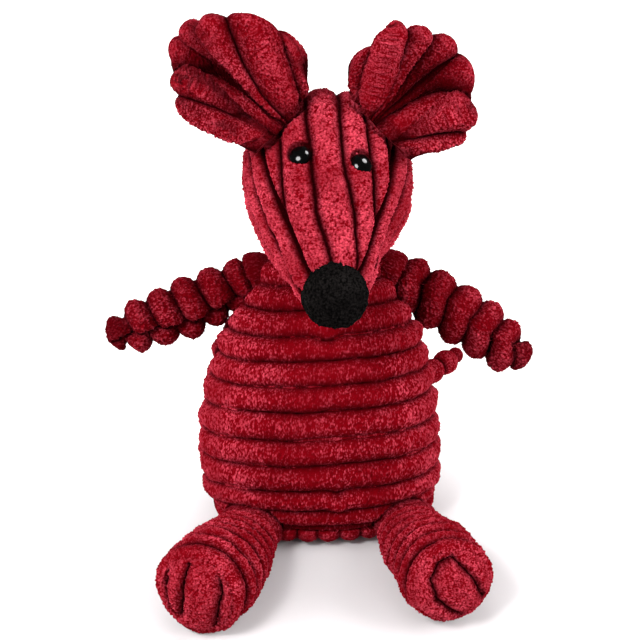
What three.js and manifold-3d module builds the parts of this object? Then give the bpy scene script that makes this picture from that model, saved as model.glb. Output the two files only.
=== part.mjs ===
// Plush mouse dog toy, sitting: a corduroy mouse with a pear shaped body, a long snout, cupped ears,
// and arms, legs and a tail that are gathered into beads by the ribs of the cloth.
// Millimetres, +Z up, the face looks along -Y and the toy's left side is +X.
// The origin is the middle of the seat, on the floor.

import * as THREE from 'three';
import { mergeVertices } from 'three/addons/utils/BufferGeometryUtils.js';
import Module from 'manifold-3d';

const wasm = await Module();
wasm.setup();
const degrees = THREE.MathUtils.degToRad;

// Cloth and clearances
const WALE_PITCH = 13.5;
const WALE_DEPTH = 2.6;
const CLOTH = 1.8;
const SEAM_GAP = 0.3;
const FIT_GAP = 0.3;
const SEAT_GAP = 0.6;
const FLOOR_CUT = 0.5;
const OVERRUN = 20;

// Body: a leaning pear, flat underneath
const BODY_LEAN = degrees(20);
const BODY_AHEAD = 12;
const BODY_LIFT = 7.5;
const BODY_WIDTH = 121;
const BODY_DEPTH = 98;
const BELLY_HEIGHT = 30;
const SHOULDER_RISE = 101;
const BELLY_DROP = 54;
const BODY_SQUARENESS = 2.35;
const SHOULDER_POWER = 1.7;
const BELLY_POWER = 4.6;
const BASE_SEAM_HEIGHT = 6;
const BASE_SEAM_TILT = degrees(5);

// Neck: a ball joint of cloth on top of the body, its middle below the crown
const NECK_RADIUS = 28;
const NECK_DROP = 21;

// Head: a round cranium that tapers to the snout
const HEAD_RISE = 53;
const HEAD_SHIFT = 2;
const HEAD_ROLL = degrees(1.5);
const HEAD_PITCH = degrees(13);
const HEAD_WIDTH = 83;
const HEAD_HEIGHT = 80;
const HEAD_BACK_LENGTH = 42;
const SNOUT_LENGTH = 86;
const SNOUT_WIDTH = 29;
const SNOUT_POWER = 1.6;
const FACE_HALF_ANGLE = degrees(52);
const BACK_SHARE = 0.38;
const HEAD_SPAN = HEAD_BACK_LENGTH + SNOUT_LENGTH + 2 * OVERRUN;

// Nose: a felt ball over the end of the snout
const NOSE_RADIUS = 15;
const NOSE_SETBACK = 3;

// Eyes: domed buttons with a shank and a lock washer behind the cloth
const EYE_RADIUS = 5.2;
const EYE_DOME = 3.6;
const EYE_SHANK_RADIUS = 1.6;
const EYE_SHANK_LENGTH = 6;
const EYES_AHEAD = { right: 25, left: 29.5 };
const EYE_ANGLE = degrees(23);
const WASHER_RADIUS = 5.5;
const WASHER_THICKNESS = 1.4;
const WASHER_DROP = 0.8;

// Ears: round fans of seven wales, gathered at the base, with a fold down the middle and two layers
const EAR_BASE_LENGTH = 36;
const EAR_RADIUS = 33;
const EAR_CENTRES_OUT = { right: 18, left: 13 };
const EAR_CENTRES_UP = { right: 15.5, left: 12 };
const EAR_FOLD = 17;
const EAR_LAYER = 4.2;
const EAR_EDGE = 0.9;
const EAR_HEM_RADIUS = 4.6;
const EAR_RIBS = 7;
const EAR_AHEAD = 4;
const EAR_STANDOFF = 1.5;
const EAR_FOLD_ROOM = 2.6;
const EAR_ANGLE = degrees(33);
const EAR_LEAN = degrees(12);
const EAR_TURN = degrees(40);
const EAR_INNER_CORNER = degrees(-105);
const EAR_OUTER_CORNER = degrees(80);
const EAR_FOLD_POWER = 1.3;
const EAR_RIM_POWER = 6;

// Arms
const SHOULDER_HALF_WIDTH = 33;
const SHOULDER_DROP = 2;
const ARM_RADIUS = 14;
const ARM_TIP_RADIUS = 4.2;
const ARM_TIP_LENGTH = 5.5;
const ARM_BEADS = 5;
const ARM_PITCH = 13.5;
const ARM_ROOT_RADIUS = 12.6;
const ARM_GROOVE = 3.8;
const ARM_SWELL_SHARE = 0.88;
const ARM_DROOPS = { right: degrees(22.5), left: degrees(33) };
const ARM_FORWARD = degrees(4);
const ARM_LOWERING = degrees(12);
const ARM_BED_BEADS = 3;

// Legs: flattened where they are sewn in under the belly, swelling to round feet
const HIP_HALF_WIDTH = 38;
const HIP_AHEAD = 48.5;
const HIP_RADIUS = 12;
const HIP_WIDTH_SHARE = 1.35;
const FOOT_RADIUS = 21.5;
const FOOT_LENGTH = 24;
const LEG_BEADS = 3;
const LEG_PITCH = 12.5;
const LEG_GROOVE = 3;
const LEG_SPLAYS = { right: degrees(24), left: degrees(12) };
const SOLE_RADIUS = 16;
const SOLE_BULGE = 7;
const SOLE_PITCH = 12;
const SOLE_FADE_POWER = 4;

// Tail
const TAIL_RADIUS = 6.6;
const TAIL_ROOT_BACK = 42;
const TAIL_BEADS = 7;
const TAIL_PITCH = 13;
const TAIL_HEADING = degrees(66);
const TAIL_BEND = degrees(-23);
const TAIL_TIP_RADIUS = 3;
const TAIL_TIP_LENGTH = 7;
const TAIL_GROOVE = 2.4;

// Squeaker in the middle of the stuffing
const SQUEAKER_RADIUS = 19;
const SQUEAKER_HEIGHT = 52;
const SQUEAKER_WALL = 1.6;
const REED_RADIUS = 6;
const REED_LENGTH = 12;
const REED_BORE = 2;

// Facets
const AROUND_BODY = 24;
const AROUND_HEAD = 48;
const AROUND_LINING = 16;
const AROUND_SEAT = 16;
const AROUND_NECK = 24;
const AROUND_LIMB = 12;
const AROUND_LEG = 14;
const AROUND_SOLE = 16;
const AROUND_TAIL = 8;
const AROUND_EYE = 12;
const RINGS_PER_WALE = 3;
const HEAD_RINGS = 12;
const ROOT_STEPS = 4;
const WEDGE_STEPS = 6;
const EAR_ROWS = 6;
const HEM_STEPS = 4;
const PROFILE_STEPS = 400;
const DOME_ANGLE_SHARES = [0, 0.3, 0.6, 0.85];
const FOOT_STEP_SHARES = [0.2, 0.4, 0.6, 0.8, 1];
const SOLE_RING_SHARES = [1, 0.92, 0.75, 0.5, 0.2];
const SQUEAKER_STEP_SHARES = [0, 0.2, 0.4, 0.6, 0.8, 1];

// Colours
const corduroy = new THREE.MeshStandardMaterial({ color: 0x971b2c, roughness: 0.95, metalness: 0 });
const felt = new THREE.MeshStandardMaterial({ color: 0x111112, roughness: 1, metalness: 0 });
const eyePlastic = new THREE.MeshStandardMaterial({ color: 0x050505, roughness: 0.12, metalness: 0 });
const washerPlastic = new THREE.MeshStandardMaterial({ color: 0xe9e7e0, roughness: 0.5, metalness: 0 });
const fibre = new THREE.MeshStandardMaterial({ color: 0xf4f2ec, roughness: 1, metalness: 0 });
const squeakerRubber = new THREE.MeshStandardMaterial({ color: 0xd9d9d4, roughness: 0.45, metalness: 0 });

// Solids

function toSolid(positions, triangles) {
  return new wasm.Manifold(new wasm.Mesh({
    numProp: 3,
    vertProperties: Float32Array.from(positions),
    triVerts: Uint32Array.from(triangles),
  }));
}

function fromGeometry(geometry, matrix = new THREE.Matrix4()) {
  const bare = geometry.clone().applyMatrix4(matrix);
  bare.deleteAttribute('normal');
  bare.deleteAttribute('uv');
  const merged = mergeVertices(bare);
  return toSolid(merged.attributes.position.array, merged.index.array);
}

// Closed skin over a stack of rings with equal numbers of points, anticlockwise about the way up.
function loft(rings) {
  const around = rings[0].length;
  const positions = rings.flat().flatMap((point) => point.toArray());
  const triangles = [];
  for (let ring = 0; ring + 1 < rings.length; ring += 1) {
    for (let k = 0; k < around; k += 1) {
      const next = (k + 1) % around;
      const [a, b] = [ring * around + k, ring * around + next];
      triangles.push(a, b, b + around, a, b + around, a + around);
    }
  }
  const last = (rings.length - 1) * around;
  const centres = [rings[0], rings[rings.length - 1]].map(middleOf);
  positions.push(...centres[0].toArray(), ...centres[1].toArray());
  const bottom = rings.length * around;
  for (let k = 0; k < around; k += 1) {
    const next = (k + 1) % around;
    triangles.push(bottom, next, k, bottom + 1, last + k, last + next);
  }
  return toSolid(positions, triangles);
}

function middleOf(points) {
  const sum = points.reduce((total, point) => total.add(point), new THREE.Vector3());
  return sum.divideScalar(points.length);
}

function sphere(centre, radius, around) {
  const geometry = new THREE.SphereGeometry(radius, around, around / 2);
  return fromGeometry(geometry, new THREE.Matrix4().setPosition(centre));
}

function block(width, depth, height, matrix) {
  return fromGeometry(new THREE.BoxGeometry(width, depth, height), matrix);
}

// Frame with its origin at a point and its +Z along a direction; side is its +X as near as may be.
function frameAlong(origin, direction, side = new THREE.Vector3(1, 0, 0)) {
  const z = direction.clone().normalize();
  const y = new THREE.Vector3().crossVectors(z, side).normalize();
  const x = new THREE.Vector3().crossVectors(y, z);
  return new THREE.Matrix4().makeBasis(x, y, z).setPosition(origin);
}

// A bulge between two grooves: 0 in the groove and 1 on the crown.
function wale(turns) {
  return Math.sqrt(Math.abs(Math.sin(Math.PI * turns)));
}

const root = new THREE.Group();

// A group stands at the point that its pieces turn about.
function jointGroup(pivot) {
  const group = new THREE.Group();
  group.position.copy(pivot);
  root.add(group);
  return group;
}

function addPiece(group, name, solid, material) {
  const { vertProperties, triVerts } = solid.getMesh();
  const geometry = new THREE.BufferGeometry();
  geometry.setAttribute('position', new THREE.BufferAttribute(vertProperties, 3));
  geometry.setIndex(new THREE.BufferAttribute(triVerts, 1));
  geometry.translate(-group.position.x, -group.position.y, -group.position.z);
  geometry.computeVertexNormals();
  const mesh = new THREE.Mesh(geometry, material);
  mesh.name = name;
  group.add(mesh);
}

// Body

const bodyFrame = new THREE.Matrix4().makeRotationX(-BODY_LEAN).setPosition(0, -BODY_AHEAD, BODY_LIFT);
const BODY_REACH = BODY_WIDTH + BODY_DEPTH;

// Share of the full girth at a height along the leaning axis.
function girthShare(height) {
  const above = height > BELLY_HEIGHT;
  const share = above ? (height - BELLY_HEIGHT) / SHOULDER_RISE : (BELLY_HEIGHT - height) / BELLY_DROP;
  return Math.sqrt(Math.max(0, 1 - Math.min(share, 1) ** (above ? SHOULDER_POWER : BELLY_POWER)));
}

// Side view of the body from under the belly to the crown, as distance from the axis and height.
class BodyProfile extends THREE.Curve {
  getPoint(t, target = new THREE.Vector2()) {
    const turn = Math.PI * t;
    const reach = t < 0.5 ? BELLY_DROP : SHOULDER_RISE;
    const height = BELLY_HEIGHT - Math.cos(turn) * reach;
    return target.set((BODY_DEPTH / 2) * girthShare(height), height);
  }
}

// Places along a profile at even steps, moved in from it by a depth.
function insetStations(profile, steps, depthAt) {
  const stations = [];
  for (let step = 1; step <= steps; step += 1) {
    const along = step / steps;
    const point = profile.getPointAt(along);
    const slope = profile.getTangentAt(along);
    const depth = depthAt(along);
    const station = { radius: point.x - depth * slope.y, height: point.y + depth * slope.x };
    if (station.radius > CLOTH) stations.push(station);
  }
  return stations;
}

function bodyRing(radius, height, around) {
  const power = 2 / BODY_SQUARENESS;
  const half = new THREE.Vector2(radius * BODY_WIDTH / BODY_DEPTH, radius);
  return Array.from({ length: around }, (unused, k) => {
    const angle = (2 * Math.PI * k) / around;
    const [across, along] = [Math.sin(angle), -Math.cos(angle)];
    const x = half.x * Math.sign(across) * Math.abs(across) ** power;
    const y = half.y * Math.sign(along) * Math.abs(along) ** power;
    return new THREE.Vector3(x, y, height).applyMatrix4(bodyFrame);
  });
}

function bodySolid(inset, ribbed) {
  const profile = new BodyProfile();
  profile.arcLengthDivisions = PROFILE_STEPS;
  const wales = Math.round(profile.getLength() / WALE_PITCH);
  const steps = ribbed ? wales * RINGS_PER_WALE : wales;
  const depthAt = (along) => inset + (ribbed ? WALE_DEPTH * (1 - wale(along * wales)) : 0);
  const stations = insetStations(profile, steps, depthAt);
  return loft(stations.map(({ radius, height }) => bodyRing(radius, height, AROUND_BODY)));
}

function bodyPoint(x, y, height) {
  return new THREE.Vector3(x, y, height).applyMatrix4(bodyFrame);
}

// Keeps what lies over (1) or under (-1) a plane at a height, which tilts up towards the front.
function trimmed(solid, keep, height, tilt) {
  const cut = new THREE.Matrix4().makeRotationX(-tilt).setPosition(0, 0, height);
  cut.multiply(new THREE.Matrix4().setPosition(0, 0, -keep * BODY_REACH));
  return solid.subtract(block(4 * BODY_REACH, 4 * BODY_REACH, 2 * BODY_REACH, cut));
}

function above(solid, height = 0) {
  return trimmed(solid, 1, height, 0);
}

// Half of a solid on one side of the plane through the side seams: -1 is the front, 1 the back.
function bodyHalf(solid, side) {
  const other = bodyFrame.clone().setPosition(bodyPoint(0, -side * BODY_REACH, 0));
  return solid.subtract(block(4 * BODY_REACH, 2 * BODY_REACH, 4 * BODY_REACH, other));
}

const LINING = WALE_DEPTH + CLOTH;
const crownHeight = BELLY_HEIGHT + SHOULDER_RISE;
const neckHeight = crownHeight - NECK_DROP;
const neck = bodyPoint(0, 0, neckHeight);
const sides = { right: -1, left: 1 };
const yAxis = new THREE.Vector3(0, 1, 0);
const seats = [];

// The head nods on a ball of cloth and stuffing that closes the body at the neck.
function neckBall(inset, around) {
  return sphere(neck, NECK_RADIUS - inset, around);
}

const bodyOuter = above(bodySolid(0, true).add(neckBall(0, AROUND_NECK)));
const bodyHollow = above(bodySolid(LINING, false).add(neckBall(LINING, AROUND_LINING)), CLOTH);
const bodyShell = bodyOuter.subtract(bodyHollow);

// Limbs and tail

// Profile of beads strung along the axis from a round root, as distance from the axis and height.
function beadProfile({ rootRadius, radii, pitch, groove, tipRadius = 0, tipLength = 0 }) {
  const start = -Math.PI / 2;
  const rootEnd = Math.asin(pitch / 2 / rootRadius);
  const points = [];
  for (let step = 0; step <= ROOT_STEPS; step += 1) {
    const angle = start + ((rootEnd - start) * step) / ROOT_STEPS;
    points.push(new THREE.Vector2(step ? rootRadius * Math.cos(angle) : 0, rootRadius * Math.sin(angle)));
  }
  radii.forEach((radius, bead) => {
    for (let step = 1; step <= RINGS_PER_WALE; step += 1) {
      const turns = step / RINGS_PER_WALE;
      const isEnd = tipRadius > 0 && bead + 1 === radii.length && step === RINGS_PER_WALE;
      const low = isEnd ? tipRadius : radius - groove;
      points.push(new THREE.Vector2(low + (radius - low) * wale(turns), pitch * (bead + 0.5 + turns)));
    }
  });
  const end = pitch * (radii.length + 0.5);
  if (tipLength > 0) points.push(new THREE.Vector2(tipRadius, end + tipLength));
  points.push(new THREE.Vector2(0, end + tipLength));
  return points;
}

// Turns a profile about the frame's +Z.
function lathe(points, frame, around = AROUND_LIMB) {
  const upright = new THREE.LatheGeometry(points, around).rotateX(Math.PI / 2);
  return fromGeometry(upright, frame);
}

function rod(radius, from, to, frame, around = AROUND_LIMB) {
  const corners = [[0, from], [radius, from], [radius, to], [0, to]];
  return lathe(corners.map(([x, y]) => new THREE.Vector2(x, y)), frame, around);
}

// A limb that is sewn in lies in a round seat, so that it can swing.
function addSeat(centre, radius) {
  seats.push(sphere(centre, radius + SEAT_GAP, AROUND_SEAT));
}

function armRadii() {
  return Array.from({ length: ARM_BEADS }, (unused, bead) => {
    const along = (bead + 0.5) / ARM_BEADS;
    return ARM_RADIUS * (ARM_SWELL_SHARE + (1 - ARM_SWELL_SHARE) * Math.sin(Math.PI * along));
  });
}

function addArm(name) {
  const side = sides[name];
  const shoulder = bodyPoint(side * SHOULDER_HALF_WIDTH, 0, neckHeight - SHOULDER_DROP);
  const droop = ARM_DROOPS[name];
  const level = Math.cos(droop);
  const out = new THREE.Vector3(side * level, -level * Math.tan(ARM_FORWARD), -Math.sin(droop));
  const frame = frameAlong(shoulder, out, new THREE.Vector3(0, 0, 1));
  const cover = lathe(beadProfile({
    rootRadius: ARM_ROOT_RADIUS,
    radii: armRadii(),
    pitch: ARM_PITCH,
    groove: ARM_GROOVE,
    tipRadius: ARM_TIP_RADIUS,
    tipLength: ARM_TIP_LENGTH,
  }), frame);
  const bore = ARM_RADIUS * ARM_SWELL_SHARE - ARM_GROOVE - CLOTH;
  const boreEnd = ARM_PITCH * ARM_BEADS;
  const hollow = rod(bore, -2 * ARM_ROOT_RADIUS, boreEnd, frame);
  const group = jointGroup(shoulder);
  addPiece(group, `${name}_arm`, cover.subtract(hollow), corduroy);
  const fill = rod(bore - FIT_GAP, FIT_GAP - ARM_PITCH / 2, boreEnd - FIT_GAP, frame);
  addPiece(group, `${name}_arm_stuffing`, fill, fibre);
  addSeat(shoulder, ARM_ROOT_RADIUS);
  const bed = ARM_RADIUS + SEAT_GAP;
  [0, ARM_LOWERING].forEach((angle) => {
    const lowered = out.clone().applyAxisAngle(yAxis, side * angle);
    seats.push(rod(bed, 0, ARM_BED_BEADS * ARM_PITCH, frameAlong(shoulder, lowered)));
  });
}

// Beads that grow to the foot, and the foot's two rings, as distance from the axis and height.
function legProfile() {
  const radii = Array.from({ length: LEG_BEADS }, (unused, bead) => (
    THREE.MathUtils.lerp(HIP_RADIUS, FOOT_RADIUS, (bead + 1) / (LEG_BEADS + 1))
  ));
  const beads = beadProfile({ rootRadius: HIP_RADIUS, radii, pitch: LEG_PITCH, groove: LEG_GROOVE });
  const ankle = beads.pop();
  const rim = SOLE_RADIUS + CLOTH;
  const foot = FOOT_STEP_SHARES.map((share) => {
    const swell = Math.sin(Math.PI * share);
    const low = THREE.MathUtils.lerp(ankle.x || FOOT_RADIUS - LEG_GROOVE, rim, share);
    return new THREE.Vector2(low + (FOOT_RADIUS - low) * swell, ankle.y + FOOT_LENGTH * share);
  });
  return [...beads, ...foot];
}

// Share by which the leg is wider than it is high, from its root to its foot.
function legSpread(along) {
  const share = THREE.MathUtils.clamp(along / (LEG_PITCH * LEG_BEADS), 0, 1);
  return THREE.MathUtils.lerp(HIP_WIDTH_SHARE, 1, share);
}

function legSolid(profile, frame) {
  const rings = profile.filter(({ x }) => x > 0);
  return loft(rings.map(({ x, y }) => ringAround(frame, x, AROUND_LEG, y, legSpread(y))));
}

// The sole is a low dome whose wales run up and down.
function soleSolid(frame) {
  const rings = SOLE_RING_SHARES.map((share) => {
    const radius = SOLE_RADIUS * share;
    const dome = SOLE_BULGE * Math.sqrt(1 - share * share);
    return Array.from({ length: AROUND_SOLE }, (unused, k) => {
      const angle = (2 * Math.PI * k) / AROUND_SOLE;
      const point = new THREE.Vector3(radius * Math.cos(angle), radius * Math.sin(angle), 0);
      const dip = WALE_DEPTH * (1 - wale(point.x / SOLE_PITCH + 0.5)) * (1 - share ** SOLE_FADE_POWER);
      point.z = dome - Math.min(dip, dome);
      return point.applyMatrix4(frame);
    });
  });
  const back = rings[0].map((point) => point.clone().addScaledVector(axisOf(frame), -CLOTH));
  return loft([back, ...rings]);
}

function axisOf(frame) {
  return new THREE.Vector3().setFromMatrixColumn(frame, 2);
}

function addLeg(name) {
  const side = sides[name];
  const hip = new THREE.Vector3(side * HIP_HALF_WIDTH, -HIP_AHEAD, HIP_RADIUS - FLOOR_CUT);
  const splay = LEG_SPLAYS[name];
  const level = new THREE.Vector3(side * Math.sin(splay), -Math.cos(splay), 0);
  const across = new THREE.Vector3(Math.cos(splay), side * Math.sin(splay), 0);
  const profile = legProfile();
  const end = profile[profile.length - 1].y;
  const climb = Math.atan2(FOOT_RADIUS - HIP_RADIUS, end - FOOT_LENGTH / 2);
  const out = level.multiplyScalar(Math.cos(climb)).setZ(Math.sin(climb));
  const frame = frameAlong(hip, out, across);
  const walls = profile.filter(({ y }) => y > -LEG_PITCH / 2);
  const inner = smoothBore(walls.map(({ x, y }) => new THREE.Vector2(x - CLOTH, y)));
  const tube = legSolid(profile, frame)
    .subtract(legSolid(inner, frame))
    .subtract(rod(SOLE_RADIUS + SEAM_GAP, end - CLOTH - SEAM_GAP, end + OVERRUN, frame, AROUND_SOLE));
  const group = jointGroup(hip);
  addPiece(group, `${name}_leg`, above(tube), corduroy);
  const soleFrame = frame.clone().setPosition(hip.clone().addScaledVector(axisOf(frame), end));
  addPiece(group, `${name}_sole`, soleSolid(soleFrame), corduroy);
  const fillEnd = end - CLOTH - 2 * FIT_GAP;
  const fillProfile = inner.map(({ x, y }) => new THREE.Vector2(x - FIT_GAP, Math.min(y, fillEnd)));
  addPiece(group, `${name}_leg_stuffing`, above(legSolid(fillProfile, frame), CLOTH), fibre);
  const seatFrame = frame.clone().scale(new THREE.Vector3(HIP_WIDTH_SHARE, 1, 1));
  const seat = new THREE.SphereGeometry(HIP_RADIUS + SEAT_GAP, AROUND_SEAT, AROUND_SEAT / 2);
  seats.push(fromGeometry(seat, seatFrame));
}

// The bore of a leg runs straight from groove to groove, as the cloth is drawn in there.
function smoothBore(points) {
  const low = points.map(({ x }) => x);
  const start = new THREE.Vector2(Math.min(...low.slice(0, RINGS_PER_WALE + 1)), points[0].y + FIT_GAP);
  const grooves = points.filter(({ x, y }, k) => k > 0 && k + 1 < points.length
    && x <= points[k - 1].x && x <= points[k + 1].x);
  return [start, ...grooves, points[points.length - 1]];
}

// The tail lies on the floor and bends evenly from its root to its tip.
function addTail() {
  const rootPoint = new THREE.Vector3(0, TAIL_ROOT_BACK, TAIL_RADIUS - FLOOR_CUT);
  const profile = beadProfile({
    rootRadius: TAIL_RADIUS,
    radii: Array(TAIL_BEADS).fill(TAIL_RADIUS),
    pitch: TAIL_PITCH,
    groove: TAIL_GROOVE,
    tipRadius: TAIL_TIP_RADIUS,
    tipLength: TAIL_TIP_LENGTH,
  });
  const whole = TAIL_PITCH * (TAIL_BEADS + 0.5) + TAIL_TIP_LENGTH;
  const place = (along) => {
    const share = Math.max(0, along) / whole;
    const heading = TAIL_HEADING + TAIL_BEND * share;
    const mean = TAIL_HEADING + (TAIL_BEND * share) / 2;
    const half = (TAIL_BEND * share) / 2;
    const chord = along * (half ? Math.sin(half) / half : 1);
    const way = new THREE.Vector3(Math.sin(mean), Math.cos(mean), 0);
    const ahead = new THREE.Vector3(Math.sin(heading), Math.cos(heading), 0);
    return frameAlong(rootPoint.clone().addScaledVector(way, chord), ahead, new THREE.Vector3(0, 0, 1));
  };
  const rings = profile.slice(1, -1).map((point) => ringAround(place(point.y), point.x, AROUND_TAIL));
  const group = jointGroup(rootPoint);
  addPiece(group, 'tail', above(loft(rings)), corduroy);
  addSeat(rootPoint, TAIL_RADIUS);
}

function ringAround(frame, radius, around, height = 0, spread = 1) {
  return Array.from({ length: around }, (unused, k) => {
    const angle = (2 * Math.PI * k) / around;
    const point = new THREE.Vector3(spread * radius * Math.cos(angle), radius * Math.sin(angle), height);
    return point.applyMatrix4(frame);
  });
}

// Head

const headCentre = neck.clone().add(new THREE.Vector3(HEAD_SHIFT, 0, HEAD_RISE));
const forward = new THREE.Vector3(0, -Math.cos(HEAD_PITCH), -Math.sin(HEAD_PITCH));
const rolled = new THREE.Vector3(Math.cos(HEAD_ROLL), 0, -Math.sin(HEAD_ROLL));
const headFrame = frameAlong(headCentre, forward, rolled);

// Share of the cranium's girth at a distance ahead of its middle.
function headShare(ahead) {
  if (ahead < 0) return Math.sqrt(Math.max(0, 1 - (ahead / HEAD_BACK_LENGTH) ** 2));
  const snout = SNOUT_WIDTH / HEAD_WIDTH;
  return snout + (1 - snout) * Math.max(0, 1 - (ahead / SNOUT_LENGTH) ** 2) ** SNOUT_POWER;
}

// Side view of the head from the back to the tip of the snout.
class HeadProfile extends THREE.Curve {
  getPoint(t, target = new THREE.Vector2()) {
    const back = -HEAD_BACK_LENGTH * Math.cos((Math.PI * t) / 2 / BACK_SHARE);
    const ahead = t < BACK_SHARE ? back : (SNOUT_LENGTH * (t - BACK_SHARE)) / (1 - BACK_SHARE);
    return target.set((HEAD_WIDTH / 2) * headShare(ahead), ahead);
  }
}

// Wales run the length of the face panel. The cheeks start their own count at the seams.
function headWale(angle, radius) {
  const turned = Math.abs(angle);
  if (turned < FACE_HALF_ANGLE) return wale((radius * angle) / WALE_PITCH + 0.5);
  return wale((radius * (turned - FACE_HALF_ANGLE)) / WALE_PITCH);
}

function headPoint(angle, radius, ahead) {
  const tall = radius * (HEAD_HEIGHT / HEAD_WIDTH);
  return new THREE.Vector3(radius * Math.sin(angle), tall * Math.cos(angle), ahead).applyMatrix4(headFrame);
}

function headRadius(ahead) {
  return (HEAD_WIDTH / 2) * headShare(ahead);
}

function headSolid(inset, ribbed) {
  const around = ribbed ? AROUND_HEAD : AROUND_LINING;
  const rings = insetStations(new HeadProfile(), HEAD_RINGS, () => inset).map(({ radius, height }) => (
    Array.from({ length: around }, (unused, k) => {
      const angle = Math.PI - (2 * Math.PI * k) / around;
      const fade = Math.min(1, radius / SNOUT_WIDTH);
      const dip = ribbed ? fade * WALE_DEPTH * (1 - headWale(angle, radius)) : 0;
      return headPoint(angle, radius - dip, height);
    })
  ));
  return loft(rings);
}

// Wedge between two angles from the top of the head, longer than the head.
function headWedge(from, to) {
  const reach = 2 * HEAD_WIDTH;
  const outline = new THREE.Shape();
  outline.moveTo(0, 0);
  for (let step = 0; step <= WEDGE_STEPS; step += 1) {
    const angle = THREE.MathUtils.lerp(from, to, step / WEDGE_STEPS);
    outline.lineTo(reach * Math.sin(angle), reach * Math.cos(angle));
  }
  outline.closePath();
  const slab = new THREE.ExtrudeGeometry(outline, { depth: HEAD_SPAN, bevelEnabled: false });
  return fromGeometry(slab.translate(0, 0, -HEAD_BACK_LENGTH - OVERRUN), headFrame);
}

// Thin slab along the seam at an angle from the top of the head.
function headSeam(angle) {
  const slab = new THREE.BoxGeometry(SEAM_GAP, 2 * HEAD_WIDTH, HEAD_SPAN);
  slab.translate(0, HEAD_WIDTH - SEAM_GAP, HEAD_SPAN / 2 - HEAD_BACK_LENGTH - OVERRUN);
  return fromGeometry(slab.rotateZ(-angle), headFrame);
}

// Eyes

// Frame on the head's surface: +Z points straight out.
function headSurfaceFrame(angle, ahead, sink) {
  const at = (turn, step) => headPoint(angle + turn, headRadius(ahead + step), ahead + step);
  const small = EYE_RADIUS / HEAD_WIDTH;
  const across = at(small, 0).sub(at(-small, 0));
  const along = at(0, EYE_RADIUS).sub(at(0, -EYE_RADIUS));
  const out = across.cross(along).normalize();
  const point = at(0, 0);
  if (out.dot(point.clone().sub(headPoint(0, 0, ahead))) < 0) out.negate();
  return frameAlong(point.addScaledVector(out, -sink), out);
}

function profileOf(corners) {
  return corners.map(([across, up]) => new THREE.Vector2(across, up));
}

function eyeSolid(frame) {
  const dome = DOME_ANGLE_SHARES.map((share) => {
    const angle = (Math.PI / 2) * share;
    return [EYE_RADIUS * Math.cos(angle), EYE_DOME * Math.sin(angle)];
  });
  const shank = [[0, -EYE_SHANK_LENGTH], [EYE_SHANK_RADIUS, -EYE_SHANK_LENGTH], [EYE_SHANK_RADIUS, 0]];
  return lathe(profileOf([...shank, ...dome, [0, EYE_DOME]]), frame, AROUND_EYE);
}

function washerSolid(frame) {
  const top = -CLOTH - WASHER_DROP;
  const bottom = top - WASHER_THICKNESS;
  const hole = EYE_SHANK_RADIUS + FIT_GAP;
  const corners = [[hole, bottom], [WASHER_RADIUS, bottom], [WASHER_RADIUS, top], [hole, top]];
  return lathe(profileOf([...corners, corners[0]]), frame, AROUND_EYE);
}

// Space that an eye and its washer take in the cloth and the stuffing.
function eyePocket(frame) {
  const seat = rod(EYE_RADIUS + FIT_GAP, -FIT_GAP, EYE_RADIUS, frame, AROUND_EYE);
  const hole = rod(EYE_SHANK_RADIUS + FIT_GAP, -OVERRUN, 0, frame, AROUND_EYE);
  const end = -EYE_SHANK_LENGTH - FIT_GAP;
  const washer = rod(WASHER_RADIUS + FIT_GAP, end, FIT_GAP - CLOTH - WASHER_DROP, frame, AROUND_EYE);
  const room = rod(EYE_SHANK_RADIUS + FIT_GAP, end, 0, frame, AROUND_EYE);
  return { cloth: seat.add(hole).add(washer), stuffing: washer.add(room).add(seat) };
}

// Ears

// Closed slab between two surfaces over the same grid, both given by shares across and along.
function slab(columns, rows, top, bottom) {
  const positions = [];
  const triangles = [];
  const layer = (columns + 1) * (rows + 1);
  [top, bottom].forEach((surface) => {
    for (let row = 0; row <= rows; row += 1) {
      for (let column = 0; column <= columns; column += 1) {
        positions.push(...surface(column / columns, row / rows).toArray());
      }
    }
  });
  const at = (column, row) => row * (columns + 1) + column;
  const quad = (a, b, c, d) => triangles.push(a, b, c, a, c, d);
  for (let row = 0; row < rows; row += 1) {
    for (let column = 0; column < columns; column += 1) {
      const [a, b] = [at(column, row), at(column + 1, row)];
      const [c, d] = [at(column + 1, row + 1), at(column, row + 1)];
      quad(a, b, c, d);
      quad(layer + a, layer + d, layer + c, layer + b);
    }
  }
  const edge = [];
  for (let column = 0; column < columns; column += 1) edge.push(at(column, 0));
  for (let row = 0; row < rows; row += 1) edge.push(at(columns, row));
  for (let column = columns; column > 0; column -= 1) edge.push(at(column, rows));
  for (let row = rows; row > 0; row -= 1) edge.push(at(0, row));
  edge.forEach((here, k) => {
    const next = edge[(k + 1) % edge.length];
    quad(here, layer + here, layer + next, next);
  });
  return toSolid(positions, triangles);
}

function earFrame(name) {
  const side = sides[name];
  const middle = headPoint(side * EAR_ANGLE, headRadius(EAR_AHEAD) + EAR_STANDOFF, EAR_AHEAD);
  const down = new THREE.Vector3(side * Math.cos(EAR_ANGLE), -Math.sin(EAR_ANGLE), 0);
  down.transformDirection(headFrame);
  const base = down.multiplyScalar(Math.cos(EAR_TURN)).addScaledVector(forward, Math.sin(EAR_TURN));
  const out = new THREE.Vector3(side, 0, 0);
  const up = new THREE.Vector3(0, Math.sin(EAR_LEAN), Math.cos(EAR_LEAN));
  const front = new THREE.Vector3(0, -Math.cos(EAR_LEAN), Math.sin(EAR_LEAN));
  const normal = middle.clone().sub(headPoint(0, 0, EAR_AHEAD)).normalize();
  const centre = new THREE.Vector2(EAR_CENTRES_OUT[name], EAR_CENTRES_UP[name]);
  return { side, middle, base, out, up, front, normal, centre };
}

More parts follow.
